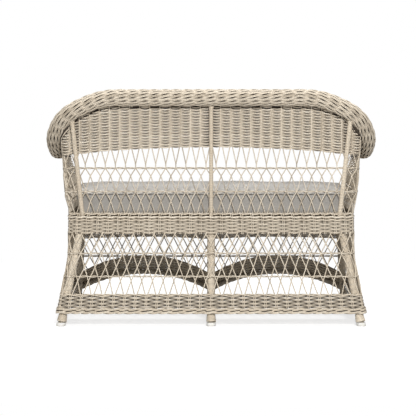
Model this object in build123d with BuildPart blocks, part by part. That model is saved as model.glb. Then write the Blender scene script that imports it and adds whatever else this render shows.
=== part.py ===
from build123d import *

import os
from math import radians, tan

# A woven patio loveseat. The sitter faces -Y, +Z is up, and left is the sitter's left, at +X.
# The origin is on the floor, in the middle of the footprint. Sizes are in millimetres.

# Clearances and cutting
weld_gap = 0.2
fit_gap = 0.3
skin_gap = 0.6
arm_skin_gap = 1.5
cut_overrun = 12
net_cut_depth = 90

# Rolled rim
roll_radius = 32
roll_rows = 14
half_turn = 180
row_radius = 6.6
roll_cap_radius = 30
roll_height = 858
roll_back_reach = 345
back_roll_half_length = 330
arm_roll_x = 590
arm_roll_height = 622
arm_roll_reach = 377
roll_end_wall = 14
roll_end_rounding = 9
# Corners of the rim's centre line past its straight part: shares of arm_roll_x, of roll_back_reach
# and of the drop from the back roll to the arm roll
rim_corner_shares = ((0.691, 1, 1), (0.932, 0.985, 0.731), (1.0076, 0.758, 0.36), (0.995, 0.454, 0.119))
# Tangent length at each of those corners, as a share of its shorter straight run
rim_bend_shares = (0.78, 0.51, 0.46, 0.48)

# Frame tubes
tube_wall = 1.5
core_radius = 11
seat_rail_radius = 11
seat_rail_height = 389
rail_corner_radius = 24
skirt_rail_radius = 8
skirt_rail_height = 85
cross_tube_radius = 9
cross_tube_inner_x = 115
cross_tube_outer_x = 340
arch_tube_radius = 6

# Legs and posts
leg_radius = 12.5
leg_wrap_radius = 15.5
leg_wrap_top_gap = 2
foot_wrap_radius = 19.5
glide_radius = 17
glide_height = 14
glide_plug_length = 22
back_foot_x = 565
back_foot_y = 345
back_post_x = 483
back_post_y = 297
post_head_share = 0.205
front_foot_x = 540
front_foot_y = 350
front_post_x = 515
front_post_y = 318
arm_post_head_y = 335
post_tube_radius = 7.5
post_radius = 9
centre_post_radius = 8

# Woven skin
weave_thickness = 7
border_thickness = 12
border_bottom = 47
border_top = 69
bottom_band_top = 122
seat_band_bottom = 347
seat_band_top = 408
lip_top = 424
dense_back_height = 671
dense_post_height = 646
dense_corner_height = 640
dense_arm_height = 535
dense_level_y = 80
waist_height = 388
flare_height = 260
waist_corner_x = 537
hem_corner_x = 576
waist_corner_radius = 41
hem_corner_radius = 25
front_corner_radius = 19
corner_run = 3
upper_corner_radius = 24
side_low_x = 536
side_middle_x = 551
side_middle_height = 495
side_crest_x = 560
side_crest_height = 700
side_top_height = 800
skin_end_margin = 11
band_row_height = 13.6
dense_row_height = 10.2
hollow_radius = 3
hollow_depth = 2.5

# Open lattice
strand_pitch = 37.4
strand_width = 4.4
net_rim = 4
weaver_height = 5
upper_weaver_heights = (592, 503)
lower_weaver_heights = (273, 187)
front_weaver_height = 193
upper_pinch_height = 612
lower_pinch_height = 170
upper_flare_share = 0.4
lower_flare_share = 0.36
dense_steps = 8

# Front seat band and aprons
front_band_end = 262
front_band_rise = 272
apron_end_height = 118
apron_rise_low = 120
apron_rise_high = 197
trim_height = 14
apron_steps = 14

# Seat deck and cushion
deck_thickness = 8
deck_back_y = 304
deck_half_width = 506
deck_corner_radius = 34
cushion_back_y = 275
cushion_front_y = 315
cushion_back_half_width = 497
cushion_front_half_width = 503
cushion_corner_radius = 35
cushion_seam_height = 83
cushion_edge_height = 10
cushion_edge_inset = 7
cushion_waist_inset = 5
cushion_shoulder_height = 91
cushion_shoulder_inset = 16
cushion_crown_height = 99
cushion_crown_inset = 95
cover_thickness = 2.2

# Sizes worked out from the ones above
junction_height = seat_rail_height + seat_rail_radius
roll_drop = roll_height - arm_roll_height
upper_offset = post_radius + fit_gap + weave_thickness / 2
arm_skin_offset = post_radius + arm_skin_gap + weave_thickness / 2
lower_offset = leg_wrap_radius + skin_gap + weave_thickness / 2
border_offset = lower_offset + (border_thickness - weave_thickness) / 2
deck_top = junction_height + fit_gap + deck_thickness


# Straight members and bent paths

def between(start, end, share):
    """Point at a share of the way along a straight line."""
    return tuple(a + share * (b - a) for a, b in zip(start, end))


def at_height(member, height):
    """Point of a straight member at a height."""
    foot, head = member
    return between(foot, head, (height - foot[2]) / (head[2] - foot[2]))


def bend_radii(points):
    """Bend radius at each inner corner of the rim's line, from its share of the shorter run."""
    vectors = [Vector(*point) for point in points]
    radii = []
    for before, corner, after, share in zip(vectors, vectors[1:], vectors[2:], rim_bend_shares):
        turn = (corner - before).get_angle(after - corner)
        shorter = min((corner - before).length, (after - corner).length)
        radii.append(share * shorter / tan(radians(turn) / 2))
    return radii


rim_corners = [
    (x * arm_roll_x, y * roll_back_reach, arm_roll_height + z * roll_drop) for x, y, z in rim_corner_shares
]
rim_start = (back_roll_half_length, roll_back_reach, roll_height)
rim_end = (arm_roll_x, -arm_roll_reach, arm_roll_height)

rim_points = [rim_start, *rim_corners, rim_end]
rim_radii = bend_radii(rim_points)
with BuildLine() as rim_line:
    FilletPolyline(*rim_points, radius=rim_radii)
post_head = tuple(rim_line.wires()[0].position_at(post_head_share))

back_leg = ((back_foot_x, back_foot_y, 0), (back_post_x, back_post_y, junction_height))
back_post = (back_leg[1], post_head)
front_leg = ((front_foot_x, -front_foot_y, 0), (front_post_x, -front_post_y, junction_height))
arm_post = (front_leg[1], (arm_roll_x, -arm_post_head_y, arm_roll_height))
centre_back_leg = ((0, back_foot_y, 0), (0, back_post_y, junction_height))
centre_post = ((0, back_post_y, seat_rail_height), (0, roll_back_reach, roll_height))
centre_front_leg = ((0, -front_foot_y, 0), (0, -front_post_y, junction_height))


def bar(start, end, radius):
    """Solid round bar from one point to another."""
    axis = Vector(*end) - Vector(*start)
    with BuildPart() as rod:
        with BuildSketch(Plane(origin=start, z_dir=axis)):
            Circle(radius)
        extrude(amount=axis.length)
    return rod.part


def pipe(start, end, radius):
    """Round tube from one point to another."""
    axis = Vector(*end) - Vector(*start)
    with BuildPart() as tube:
        with BuildSketch(Plane(origin=start, z_dir=axis)):
            Circle(radius)
            Circle(radius - tube_wall, mode=Mode.SUBTRACT)
        extrude(amount=axis.length)
    return tube.part


def sleeve(member, outer, inner, low, high):
    """Stretch of a leaning member between two level cuts, hollow where inner isn't zero."""
    start = Vector(*at_height(member, low - cut_overrun))
    axis = Vector(*at_height(member, high + cut_overrun)) - start
    with BuildPart() as stretch:
        with BuildSketch(Plane(origin=start, z_dir=axis)):
            Circle(outer)
            if inner:
                Circle(inner, mode=Mode.SUBTRACT)
        extrude(amount=axis.length)
        split(bisect_by=Plane.XY.offset(low), keep=Keep.TOP)
        split(bisect_by=Plane.XY.offset(high), keep=Keep.BOTTOM)
    return stretch.part


def swept_bar(points, radii, radius):
    """Solid round bar along straight runs joined by tangent arcs."""
    with BuildPart() as rod:
        with BuildLine() as path:
            FilletPolyline(*points, radius=radii)
        axis = Vector(*points[1]) - Vector(*points[0])
        with BuildSketch(Plane(origin=points[0], z_dir=axis)):
            Circle(radius)
        sweep(path=path.wires()[0])
    return rod.part


def swept_rows(points, radii):
    """Solid bar whose section is the rim's ring of rows, along straight runs joined by tangent arcs."""
    axis = Vector(*points[1]) - Vector(*points[0])
    with BuildPart() as rod:
        with BuildLine() as path:
            if radii:
                FilletPolyline(*points, radius=radii)
            else:
                Line(*points)
        with BuildSketch(Plane(origin=points[0], x_dir=(0, 1, 0), z_dir=axis)):
            Circle(roll_radius - row_radius)
            with PolarLocations(roll_radius - row_radius, roll_rows, start_angle=half_turn / roll_rows):
                Circle(row_radius)
        sweep(path=path.wires()[0])
    return rod.part


# Plan of the woven skin

def moved_out(corners, distance):
    """Open line in plan, moved to its outer side, with mitred corners."""
    moved = []
    directions = [(Vector(*b) - Vector(*a)).normalized() for a, b in zip(corners, corners[1:])]
    for index, corner in enumerate(corners):
        before = directions[max(index - 1, 0)]
        after = directions[min(index, len(directions) - 1)]
        normal = Vector(-before.Y - after.Y, before.X + after.X).normalized()
        reach = distance / normal.dot(Vector(-after.Y, after.X))
        moved.append((corner[0] + reach * normal.X, corner[1] + reach * normal.Y))
    return moved


def strip(height, corners, radii, thickness):
    """Closed strip of even thickness along a line in plan, at one height."""
    outer = moved_out(corners, thickness / 2)
    inner = moved_out(corners, -thickness / 2)
    with BuildSketch(Plane.XY.offset(height)) as section:
        with BuildLine():
            if radii:
                FilletPolyline(*outer, radius=[radius + thickness / 2 for radius in radii])
                FilletPolyline(*inner, radius=[radius - thickness / 2 for radius in radii])
            else:
                Polyline(*outer)
                Polyline(*inner)
            Line(outer[0], inner[0])
            Line(outer[-1], inner[-1])
        make_face()
    return section.sketch


def wall(levels):
    """Ruled wall through the strips at its levels."""
    sections = [strip(*level) for level in levels]
    with BuildPart() as shell:
        loft(sections=sections, ruled=True)
    return shell.part


def flare_share(height):
    """How far the skirt has flared at a height, from 0 above the flare to 1 at the hem."""
    return max(flare_height - height, 0) / (flare_height - border_top)


def tightening_share(height):
    """How far the skirt's corner has tightened at a height, from 0 at the waist to 1 where it flares."""
    return min((waist_height - height) / (waist_height - flare_height), 1)


def lower_plan(height, extra):
    """Corners and bend radii of the skirt's middle surface at a height, on the sitter's left."""
    back_y = at_height(back_leg, height)[1] + lower_offset + extra
    front_x = at_height(front_leg, height)[0] + lower_offset + extra
    front_y = at_height(front_leg, height)[1] - lower_offset - extra
    corner_x = waist_corner_x + (hem_corner_x - waist_corner_x) * flare_share(height) + extra
    radius = waist_corner_radius + (hem_corner_radius - waist_corner_radius) * tightening_share(height) + extra
    start_x = corner_x - radius - corner_run
    end_x = front_x - front_corner_radius - extra - corner_run
    corners = [(start_x, back_y), (corner_x, back_y), (front_x, front_y), (end_x, front_y)]
    return corners, [radius, front_corner_radius + extra]


def skirt_levels(low, high):
    """Heights that a stretch of the skirt is drawn at: its ends, and the flare where that lies between them."""
    return [low, flare_height, high] if low < flare_height < high else [low, high]


def skirt_side(low, high, thickness, extra):
    """Side wall of the skirt, round its back and front corners."""
    return wall([(height, *lower_plan(height, extra), thickness) for height in skirt_levels(low, high)])


def skirt_back(low, high, thickness, extra):
    """Flat back wall of the skirt between its two corners."""
    levels = []
    for height in skirt_levels(low, high):
        start_x, back_y = lower_plan(height, extra)[0][0]
        half_width = start_x - fit_gap
        levels.append((height, [(-half_width, back_y), (half_width, back_y)], [], thickness))
    return wall(levels)


def skirt_front(low, high, thickness, extra):
    """Flat front wall of the skirt between its two corners."""
    levels = []
    for height in (low, high):
        end_x, front_y = lower_plan(height, extra)[0][-1]
        half_width = end_x - fit_gap
        levels.append((height, [(half_width, front_y), (-half_width, front_y)], [], thickness))
    return wall(levels)


def row_hollows(low, high, row_height, wall_y):
    """Rods that cut the hollows between a wall's rows into both of its faces."""
    rods = []
    count = int((high - low) / row_height)
    for index in range(1, count):
        height = low + index * row_height
        for side in (1, -1):
            y = wall_y(height) + side * (weave_thickness / 2 + hollow_radius - hollow_depth)
            rods.append(bar((-hem_corner_x, y, height), (hem_corner_x, y, height), hollow_radius))
    return rods


def front_y(height):
    """Middle surface of the skirt's front at a height."""
    return lower_plan(height, 0)[0][-1][1]


def upper_back_y(height):
    """Middle surface of the upper back, just inside the posts."""
    return at_height(back_post, height)[1] - upper_offset


def side_corner_x(height):
    """Reach of the upper side's middle surface at its back corner."""
    if height <= side_middle_height:
        share = (height - lip_top) / (side_middle_height - lip_top)
        return side_low_x + share * (side_middle_x - side_low_x)
    share = min((height - side_middle_height) / (side_crest_height - side_middle_height), 1)
    return side_middle_x + share * (side_crest_x - side_middle_x)


def upper_plan(height):
    """Corners and bend radii of the upper side's middle surface at a height."""
    post_x = at_height(back_post, height)[0]
    back_y = upper_back_y(height)
    front = at_height(arm_post, min(height, arm_roll_height))
    corners = [
        (post_x + fit_gap, back_y),
        (side_corner_x(height), back_y),
        (front[0] - arm_skin_offset, front[1] - skin_end_margin),
    ]
    return corners, [upper_corner_radius]


# Profiles seen along one axis, used to cut the skin

def prism(plane, outline, depth):
    """Straight prism over an outline, to both sides of its plane."""
    with BuildPart() as block:
        with BuildSketch(plane):
            Polygon(*outline)
        extrude(amount=depth, both=True)
    return block.part


def strand_outlines(centres, line):
    """Outlines of the strands of both leans through a row of crossings.

    line gives a strand's offset from its crossing at each height."""
    outlines = []
    for centre in centres:
        for lean in (1, -1):
            points = [(centre + lean * offset, height) for offset, height in line]
            left = [(u - strand_width / 2, height) for u, height in points]
            right = [(u + strand_width / 2, height) for u, height in reversed(points)]
            outlines.append(left + right)
    return outlines


def net_gaps(plane, region, centres, line, weavers):
    """Prisms of the gaps that strands and weavers leave open in a region."""
    low_u = min(u for u, height in region)
    high_u = max(u for u, height in region)
    with BuildPart() as gaps:
        with BuildSketch(plane):
            Polygon(*region)
            crossed = [Polygon(*outline, mode=Mode.PRIVATE) for outline in strand_outlines(centres, line)]
            for height in weavers:
                low, high = height - weaver_height / 2, height + weaver_height / 2
                row = [(low_u, low), (high_u, low), (high_u, high), (low_u, high)]
                crossed.append(Polygon(*row, mode=Mode.PRIVATE))
            add(crossed, mode=Mode.SUBTRACT)
        extrude(amount=net_cut_depth, both=True)
    return gaps.part


def crossings(low, high):
    """Evenly pitched crossings, symmetric about the middle of a stretch."""
    count = max(round((high - low) / strand_pitch), 1)
    pitch = (high - low) / count
    return [low + pitch * (index + 1 / 2) for index in range(-2, count + 2)]


upper_line = [
    (-upper_flare_share * strand_pitch, dense_back_height + cut_overrun),
    (0, upper_pinch_height),
    (0, upper_weaver_heights[0]),
    (strand_pitch, upper_weaver_heights[1]),
    ((2 - upper_flare_share / 2) * strand_pitch, lip_top - cut_overrun),
]
lower_line = [
    (-(1 + lower_flare_share) * strand_pitch, seat_band_bottom + cut_overrun),
    (0, lower_weaver_heights[0]),
    (strand_pitch, lower_pinch_height),
    ((1 + lower_flare_share) * strand_pitch, bottom_band_top - cut_overrun),
]


def save(piece, name):
    """Label a finished piece and write it."""
    piece.part.label = name
    export_step(piece.part, f"parts/{name}.step")


def save_pair(piece, stem):
    """Write the sitter's left piece, and its mirror image as the right one."""
    with BuildPart() as twin:
        mirror(piece.part, about=Plane.YZ)
    save(piece, f"{stem}_left")
    save(twin, f"{stem}_right")


os.makedirs("parts", exist_ok=True)

# Envelopes that pieces are cut to fit round

rim_row_points = [rim_start, *rim_corners, (arm_roll_x, roll_end_rounding - arm_roll_reach, arm_roll_height)]
core_end = (arm_roll_x, roll_end_wall - arm_roll_reach, arm_roll_height)
core_points = [rim_start, *rim_corners, (arm_roll_x, core_end[1] + fit_gap, arm_roll_height)]
pocket_points = [rim_start, *rim_corners, core_end]
rim_envelope = swept_bar(rim_points, rim_radii, roll_radius + fit_gap)
core_envelope = swept_bar(pocket_points, bend_radii(pocket_points), core_radius + fit_gap)
straight_points = [(-back_roll_half_length, roll_back_reach, roll_height), rim_start]
straight_roll_envelope = bar(*straight_points, roll_radius + fit_gap)
straight_core_envelope = bar(*straight_points, core_radius + fit_gap)

rail_y = at_height(back_leg, seat_rail_height)[1]
front_rail_y = at_height(front_leg, seat_rail_height)[1]
back_rail_end = at_height(back_leg, seat_rail_height)
front_rail_end = at_height(front_leg, seat_rail_height)
side_rail_points = [
    back_rail_end,
    (back_rail_end[0] + rail_corner_radius + weld_gap, rail_y, seat_rail_height),
    front_rail_end,
]
skirt_back_end = at_height(back_leg, skirt_rail_height)
skirt_front_end = at_height(front_leg, skirt_rail_height)
leg_envelopes = [
    sleeve(leg, leg_radius + weld_gap, 0, glide_height, junction_height + weld_gap)
    for leg in (back_leg, front_leg)
]
centre_leg_envelopes = [
    sleeve(leg, leg_radius + weld_gap, 0, glide_height, junction_height)
    for leg in (centre_back_leg, centre_front_leg)
]
seat_rail_envelopes = [
    bar((-back_rail_end[0], rail_y, seat_rail_height), back_rail_end, seat_rail_radius + weld_gap),
    bar((-front_rail_end[0], front_rail_y, seat_rail_height), front_rail_end, seat_rail_radius + weld_gap),
]

# Rolled rim and the tubes inside it

with BuildPart() as back_roll:
    add(swept_rows(straight_points, []))
    add(straight_core_envelope, mode=Mode.SUBTRACT)
    add(bar(*centre_post, centre_post_radius + fit_gap), mode=Mode.SUBTRACT)
save(back_roll, "back_roll")

with BuildPart() as arm_roll:
    add(bar((arm_roll_x, roll_end_wall - arm_roll_reach, arm_roll_height), rim_end, roll_cap_radius))
    fillet(arm_roll.faces().sort_by(Axis.Y)[0].edges(), radius=roll_end_rounding)
    add(swept_rows(rim_row_points, bend_radii(rim_row_points)))
    add(core_envelope, mode=Mode.SUBTRACT)
    for post in (back_post, arm_post):
        add(bar(*post, post_radius + fit_gap), mode=Mode.SUBTRACT)
save_pair(arm_roll, "arm_roll")

with BuildPart() as back_top_rail:
    add(pipe(*straight_points, core_radius))
save(back_top_rail, "back_top_rail")

with BuildPart() as arm_rail:
    add(swept_bar(core_points, bend_radii(core_points), core_radius))
    add(swept_bar(core_points, bend_radii(core_points), core_radius - tube_wall), mode=Mode.SUBTRACT)
save_pair(arm_rail, "arm_rail")

# Legs and posts

with BuildPart() as back_leg_tube:
    add(sleeve(back_leg, leg_radius, leg_radius - tube_wall, glide_height, junction_height))
save_pair(back_leg_tube, "back_leg")

with BuildPart() as front_leg_tube:
    add(sleeve(front_leg, leg_radius, leg_radius - tube_wall, glide_height, junction_height))
save_pair(front_leg_tube, "front_leg")

for name, leg, rail in (
    ("back_leg_centre", centre_back_leg, seat_rail_envelopes[0]),
    ("front_leg_centre", centre_front_leg, seat_rail_envelopes[1]),
):
    with BuildPart() as centre_leg_tube:
        add(sleeve(leg, leg_radius, leg_radius - tube_wall, glide_height, seat_rail_height))
        add(rail, mode=Mode.SUBTRACT)
    save(centre_leg_tube, name)


def post_tube(post, low, envelope, outer, inner):
    """Post between a level foot and the tube inside the rim."""
    with BuildPart() as stretch:
        add(sleeve(post, outer, inner, low, post[1][2]))
        add(envelope, mode=Mode.SUBTRACT)
    return stretch.part.solids().sort_by(SortBy.VOLUME)[-1]


with BuildPart() as back_post_tube:
    add(post_tube(back_post, junction_height, core_envelope, post_tube_radius, post_tube_radius - tube_wall))
save_pair(back_post_tube, "back_post")

with BuildPart() as arm_post_tube:
    add(post_tube(arm_post, junction_height, core_envelope, post_tube_radius, post_tube_radius - tube_wall))
save_pair(arm_post_tube, "arm_post")

centre_tube_radius = post_tube_radius - (post_radius - centre_post_radius)
with BuildPart() as centre_post_tube:
    add(bar(*centre_post, centre_tube_radius))
    add(bar(*centre_post, centre_tube_radius - tube_wall), mode=Mode.SUBTRACT)
    add(seat_rail_envelopes[0], mode=Mode.SUBTRACT)
    add(straight_core_envelope, mode=Mode.SUBTRACT)
save(centre_post_tube, "back_post_centre")

# Seat rails, skirt rails, cross tubes and apron arches

with BuildPart() as seat_rail_back:
    add(pipe((-back_rail_end[0], rail_y, seat_rail_height), back_rail_end, seat_rail_radius))
    add(leg_envelopes[0], mode=Mode.SUBTRACT)
    mirror(leg_envelopes[0], about=Plane.YZ, mode=Mode.SUBTRACT)
save(seat_rail_back, "seat_rail_back")

with BuildPart() as seat_rail_front:
    add(pipe((-front_rail_end[0], front_rail_y, seat_rail_height), front_rail_end, seat_rail_radius))
    add(leg_envelopes[1], mode=Mode.SUBTRACT)
    mirror(leg_envelopes[1], about=Plane.YZ, mode=Mode.SUBTRACT)
save(seat_rail_front, "seat_rail_front")

with BuildPart() as seat_rail_side:
    add(swept_bar(side_rail_points, [rail_corner_radius], seat_rail_radius))
    add(swept_bar(side_rail_points, [rail_corner_radius], seat_rail_radius - tube_wall), mode=Mode.SUBTRACT)
    add(leg_envelopes + seat_rail_envelopes[1:], mode=Mode.SUBTRACT)
save_pair(seat_rail_side, "seat_rail")

skirt_envelopes = [
    bar((-skirt_back_end[0], skirt_back_end[1], skirt_rail_height), skirt_back_end, skirt_rail_radius + fit_gap),
    bar(skirt_front_end, skirt_back_end, skirt_rail_radius + fit_gap),
]

with BuildPart() as skirt_rail_back:
    add(pipe((-skirt_back_end[0], skirt_back_end[1], skirt_rail_height), skirt_back_end, skirt_rail_radius))
    add(leg_envelopes[0], mode=Mode.SUBTRACT)
    mirror(leg_envelopes[0], about=Plane.YZ, mode=Mode.SUBTRACT)
    add(centre_leg_envelopes[0], mode=Mode.SUBTRACT)
save(skirt_rail_back, "skirt_rail_back")

with BuildPart() as skirt_rail_side:
    add(pipe(skirt_front_end, skirt_back_end, skirt_rail_radius))
    add(leg_envelopes, mode=Mode.SUBTRACT)
save_pair(skirt_rail_side, "skirt_rail")

cross_tube_height = junction_height - cross_tube_radius
with BuildPart() as cross_tubes:
    for x in (-cross_tube_outer_x, -cross_tube_inner_x, cross_tube_inner_x, cross_tube_outer_x):
        add(pipe((x, front_rail_y, cross_tube_height), (x, rail_y, cross_tube_height), cross_tube_radius))
    add(seat_rail_envelopes, mode=Mode.SUBTRACT)
save(cross_tubes, "seat_cross_tubes")

apron_middle_x = front_foot_x / 2
arch_end_z = border_bottom + trim_height
arch_top_z = apron_rise_low + trim_height
arch_offset = leg_wrap_radius - arch_tube_radius
arch_end_y = at_height(front_leg, arch_end_z)[1] - arch_offset
arch_top_y = at_height(front_leg, arch_top_z)[1] - arch_offset


def arch_bar(radius):
    """Round bar bent along one apron's lower edge, with the front's lean."""
    with BuildPart() as arch:
        with BuildLine() as path:
            ThreePointArc(
                (front_foot_x, arch_end_y, arch_end_z),
                (apron_middle_x, arch_top_y, arch_top_z),
                (0, arch_end_y, arch_end_z),
            )
        with BuildSketch(Plane(origin=path.line @ 0, z_dir=path.line % 0)):
            Circle(radius)
        sweep(path=path.line)
    return arch.part


arch_envelope = arch_bar(arch_tube_radius + fit_gap)
with BuildPart() as arch_tube:
    add(arch_bar(arch_tube_radius))
    add(arch_bar(arch_tube_radius - tube_wall), mode=Mode.SUBTRACT)
    add(leg_envelopes[1], mode=Mode.SUBTRACT)
    add(centre_leg_envelopes[1], mode=Mode.SUBTRACT)
arch_length = arch_tube.part.solids().sort_by(SortBy.VOLUME)[-1]
with BuildPart() as arch_tubes:
    add(arch_length)
    mirror(arch_length, about=Plane.YZ)
save(arch_tubes, "apron_arch_tubes")

# Glides, and the strand wound on legs, feet and posts

with BuildPart() as glides:
    for leg in (back_leg, front_leg, centre_back_leg, centre_front_leg):
        cap = sleeve(leg, glide_radius, 0, 0, glide_height)
        plug_radius = leg_radius - tube_wall - fit_gap
        plug = sleeve(leg, plug_radius, 0, glide_height, glide_height + glide_plug_length)
        add([cap, plug])
        if leg in (back_leg, front_leg):
            mirror([cap, plug], about=Plane.YZ)
save(glides, "leg_glides")

leg_wrap_top = seat_rail_height - seat_rail_radius - leg_wrap_top_gap
with BuildPart() as leg_wraps:
    for leg in (back_leg, front_leg, centre_back_leg, centre_front_leg):
        wrap = sleeve(leg, leg_wrap_radius, leg_radius + weld_gap, glide_height + fit_gap, leg_wrap_top)
        add(wrap)
        if leg in (back_leg, front_leg):
            mirror(wrap, about=Plane.YZ)
    add(skirt_envelopes + [arch_envelope], mode=Mode.SUBTRACT)
    mirror([skirt_envelopes[1], arch_envelope], about=Plane.YZ, mode=Mode.SUBTRACT)
save(leg_wraps, "leg_wraps")

with BuildPart() as foot_wraps:
    for leg in (back_leg, front_leg, centre_back_leg, centre_front_leg):
        wrap = sleeve(
            leg, foot_wrap_radius, leg_wrap_radius + weld_gap, glide_height + fit_gap, border_bottom - fit_gap
        )
        add(wrap)
        if leg in (back_leg, front_leg):
            mirror(wrap, about=Plane.YZ)
save(foot_wraps, "foot_wraps")


def binding(post, envelope, radius, tube_radius, low):
    """Strand bound round a post, from a level foot up to the rim's underside."""
    with BuildPart() as stretch:
        add(sleeve(post, radius, tube_radius + weld_gap, low, post[1][2]))
        add(envelope, mode=Mode.SUBTRACT)
    return stretch.part.solids().sort_by(SortBy.VOLUME)[-1]


with BuildPart() as post_bindings:
    for post in (back_post, arm_post):
        bound = binding(post, rim_envelope, post_radius, post_tube_radius, junction_height + fit_gap)
        add(bound)
        mirror(bound, about=Plane.YZ)
    add(binding(
        centre_post, straight_roll_envelope, centre_post_radius, centre_tube_radius, junction_height + fit_gap
    ))
save(post_bindings, "post_bindings")

# Skirt: border, bottom band, lower lattice and seat band, on the back and on both sides

border_extra = border_offset - lower_offset

with BuildPart() as border_back:
    add(skirt_back(border_bottom, border_top, border_thickness, border_extra))
save(border_back, "border_back")

with BuildPart() as border_side:
    add(skirt_side(border_bottom, border_top, border_thickness, border_extra))
save_pair(border_side, "border")

with BuildPart() as bottom_band_back:
    add(skirt_back(border_top, bottom_band_top, weave_thickness, 0))
save(bottom_band_back, "bottom_band_back")

with BuildPart() as bottom_band_side:
    add(skirt_side(border_top, bottom_band_top, weave_thickness, 0))
save_pair(bottom_band_side, "bottom_band")

low_net, high_net = bottom_band_top + net_rim, seat_band_bottom - net_rim
back_low_x = lower_plan(low_net, 0)[0][0][0] - net_rim
back_high_x = lower_plan(high_net, 0)[0][0][0] - net_rim
back_region = [(-back_low_x, low_net), (back_low_x, low_net), (back_high_x, high_net), (-back_high_x, high_net)]
with BuildPart() as lower_lattice_back:
    add(skirt_back(bottom_band_top, seat_band_bottom, weave_thickness, 0))
    back_crossings = crossings(-back_low_x, back_low_x)
    add(
        net_gaps(Plane.XZ.offset(-back_foot_y), back_region, back_crossings, lower_line, lower_weaver_heights),
        mode=Mode.SUBTRACT,
    )
save(lower_lattice_back, "lower_lattice_back")


def side_ends(height):
    """Front and back ends of the flat part of the skirt's side at a height."""
    corners, radii = lower_plan(height, 0)
    front_y = corners[2][1] + radii[1] + net_rim
    back_y = corners[1][1] - radii[0] - net_rim
    return front_y, back_y


low_front_y, low_back_y = side_ends(low_net)
high_front_y, high_back_y = side_ends(high_net)
side_region = [
    (low_front_y, low_net), (low_back_y, low_net), (high_back_y, high_net), (high_front_y, high_net)
]
with BuildPart() as lower_lattice_side:
    add(skirt_side(bottom_band_top, seat_band_bottom, weave_thickness, 0))
    side_crossings = crossings(low_front_y, low_back_y)
    add(
        net_gaps(Plane.YZ.offset(back_foot_x), side_region, side_crossings, lower_line, lower_weaver_heights),
        mode=Mode.SUBTRACT,
    )
save_pair(lower_lattice_side, "lower_lattice")

post_envelopes = [
    sleeve(post, post_radius + fit_gap, 0, seat_rail_height, lip_top + cut_overrun) for post in (back_post, arm_post)
]
centre_post_envelope = sleeve(centre_post, centre_post_radius + fit_gap, 0, seat_rail_height, lip_top + cut_overrun)


def lip_plan(height):
    """Plan of the seat band's lip: on the skirt at its foot, on the upper skin at its top."""
    if height == seat_band_top:
        corners, radii = lower_plan(height, 0)
        front = (corners[2][0], corners[2][1] + front_corner_radius + corner_run)
        return [corners[0], corners[1], front], radii[:1]
    return upper_plan(height)


with BuildPart() as seat_band_back:
    add(skirt_back(seat_band_bottom, seat_band_top, weave_thickness, 0))
    lip_levels = []
    for height, half_width, back_y in (
        (seat_band_top, lower_plan(seat_band_top, 0)[0][0][0] - fit_gap, lower_plan(seat_band_top, 0)[0][0][1]),
        (lip_top, at_height(back_post, lip_top)[0], upper_back_y(lip_top)),
    ):
        lip_levels.append((height, [(-half_width, back_y), (half_width, back_y)], [], weave_thickness))
    add(wall(lip_levels))
    add(post_envelopes[0], mode=Mode.SUBTRACT)
    mirror(post_envelopes[0], about=Plane.YZ, mode=Mode.SUBTRACT)
    add(centre_post_envelope, mode=Mode.SUBTRACT)
save(seat_band_back, "seat_band_back")

with BuildPart() as seat_band_side:
    add(skirt_side(seat_band_bottom, seat_band_top, weave_thickness, 0))
    add(wall([(height, *lip_plan(height), weave_thickness) for height in (seat_band_top, lip_top)]))
    add(post_envelopes, mode=Mode.SUBTRACT)
save_pair(seat_band_side, "seat_band")

# Upper skin: open lattice and dense weave, on the back and on both sides

back_trim = prism(
    Plane.XZ,
    [
        (-rim_corners[1][0], 0),
        (rim_corners[1][0], 0),
        (rim_corners[1][0], rim_corners[1][2]),
        (rim_corners[0][0], roll_height),
        (-rim_corners[0][0], roll_height),
        (-rim_corners[1][0], rim_corners[1][2]),
    ],
    roll_back_reach,
)
corner_underside = rim_corners[1][2] - roll_radius / 2
side_trim = prism(
    Plane.YZ,
    [
        (-arm_roll_reach, 0),
        (arm_roll_reach, 0),
        (arm_roll_reach, corner_underside),
        (rim_corners[1][1], corner_underside),
        *[(y, z) for x, y, z in rim_corners[2:]],
        (-arm_roll_reach, arm_roll_height),
    ],
    arm_roll_x,
)
dense_corner_y = upper_back_y(dense_corner_height)
side_dense = prism(
    Plane.YZ,
    [
        (-arm_roll_reach, dense_arm_height),
        (dense_level_y, dense_arm_height),
        (dense_corner_y, dense_corner_height),
        (arm_roll_reach, dense_corner_height),
        (arm_roll_reach, roll_height),
        (-arm_roll_reach, roll_height),
    ],
    arm_roll_x,
)


def side_dense_edge(y):
    """Height of the dense weave's edge on a side, where it slopes."""
    slope = (dense_corner_height - dense_arm_height) / (dense_corner_y - dense_level_y)
    return dense_arm_height + slope * (y - dense_level_y)


def dense_edge(x):
    """Height of the dense weave's edge on the back at a distance from the middle."""
    return dense_back_height - (dense_back_height - dense_post_height) * (x / back_post_x) ** 2


dense_foot_height = dense_edge(back_foot_x)
with BuildPart() as open_block:
    with BuildSketch(Plane.XZ):
        with BuildLine():
            ThreePointArc((-back_foot_x, dense_foot_height), (0, dense_back_height), (back_foot_x, dense_foot_height))
            Polyline(
                (back_foot_x, dense_foot_height),
                (back_foot_x, 0),
                (-back_foot_x, 0),
                (-back_foot_x, dense_foot_height),
            )
        make_face()
    extrude(amount=roll_back_reach, both=True)


def upper_back(low, high):
    """Flat upper back wall between the two side posts."""
    levels = []
    for height in (low, high):
        half_width = at_height(back_post, height)[0] - fit_gap
        back_y = upper_back_y(height)
        levels.append((height, [(-half_width, back_y), (half_width, back_y)], [], weave_thickness))
    return wall(levels)


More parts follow.
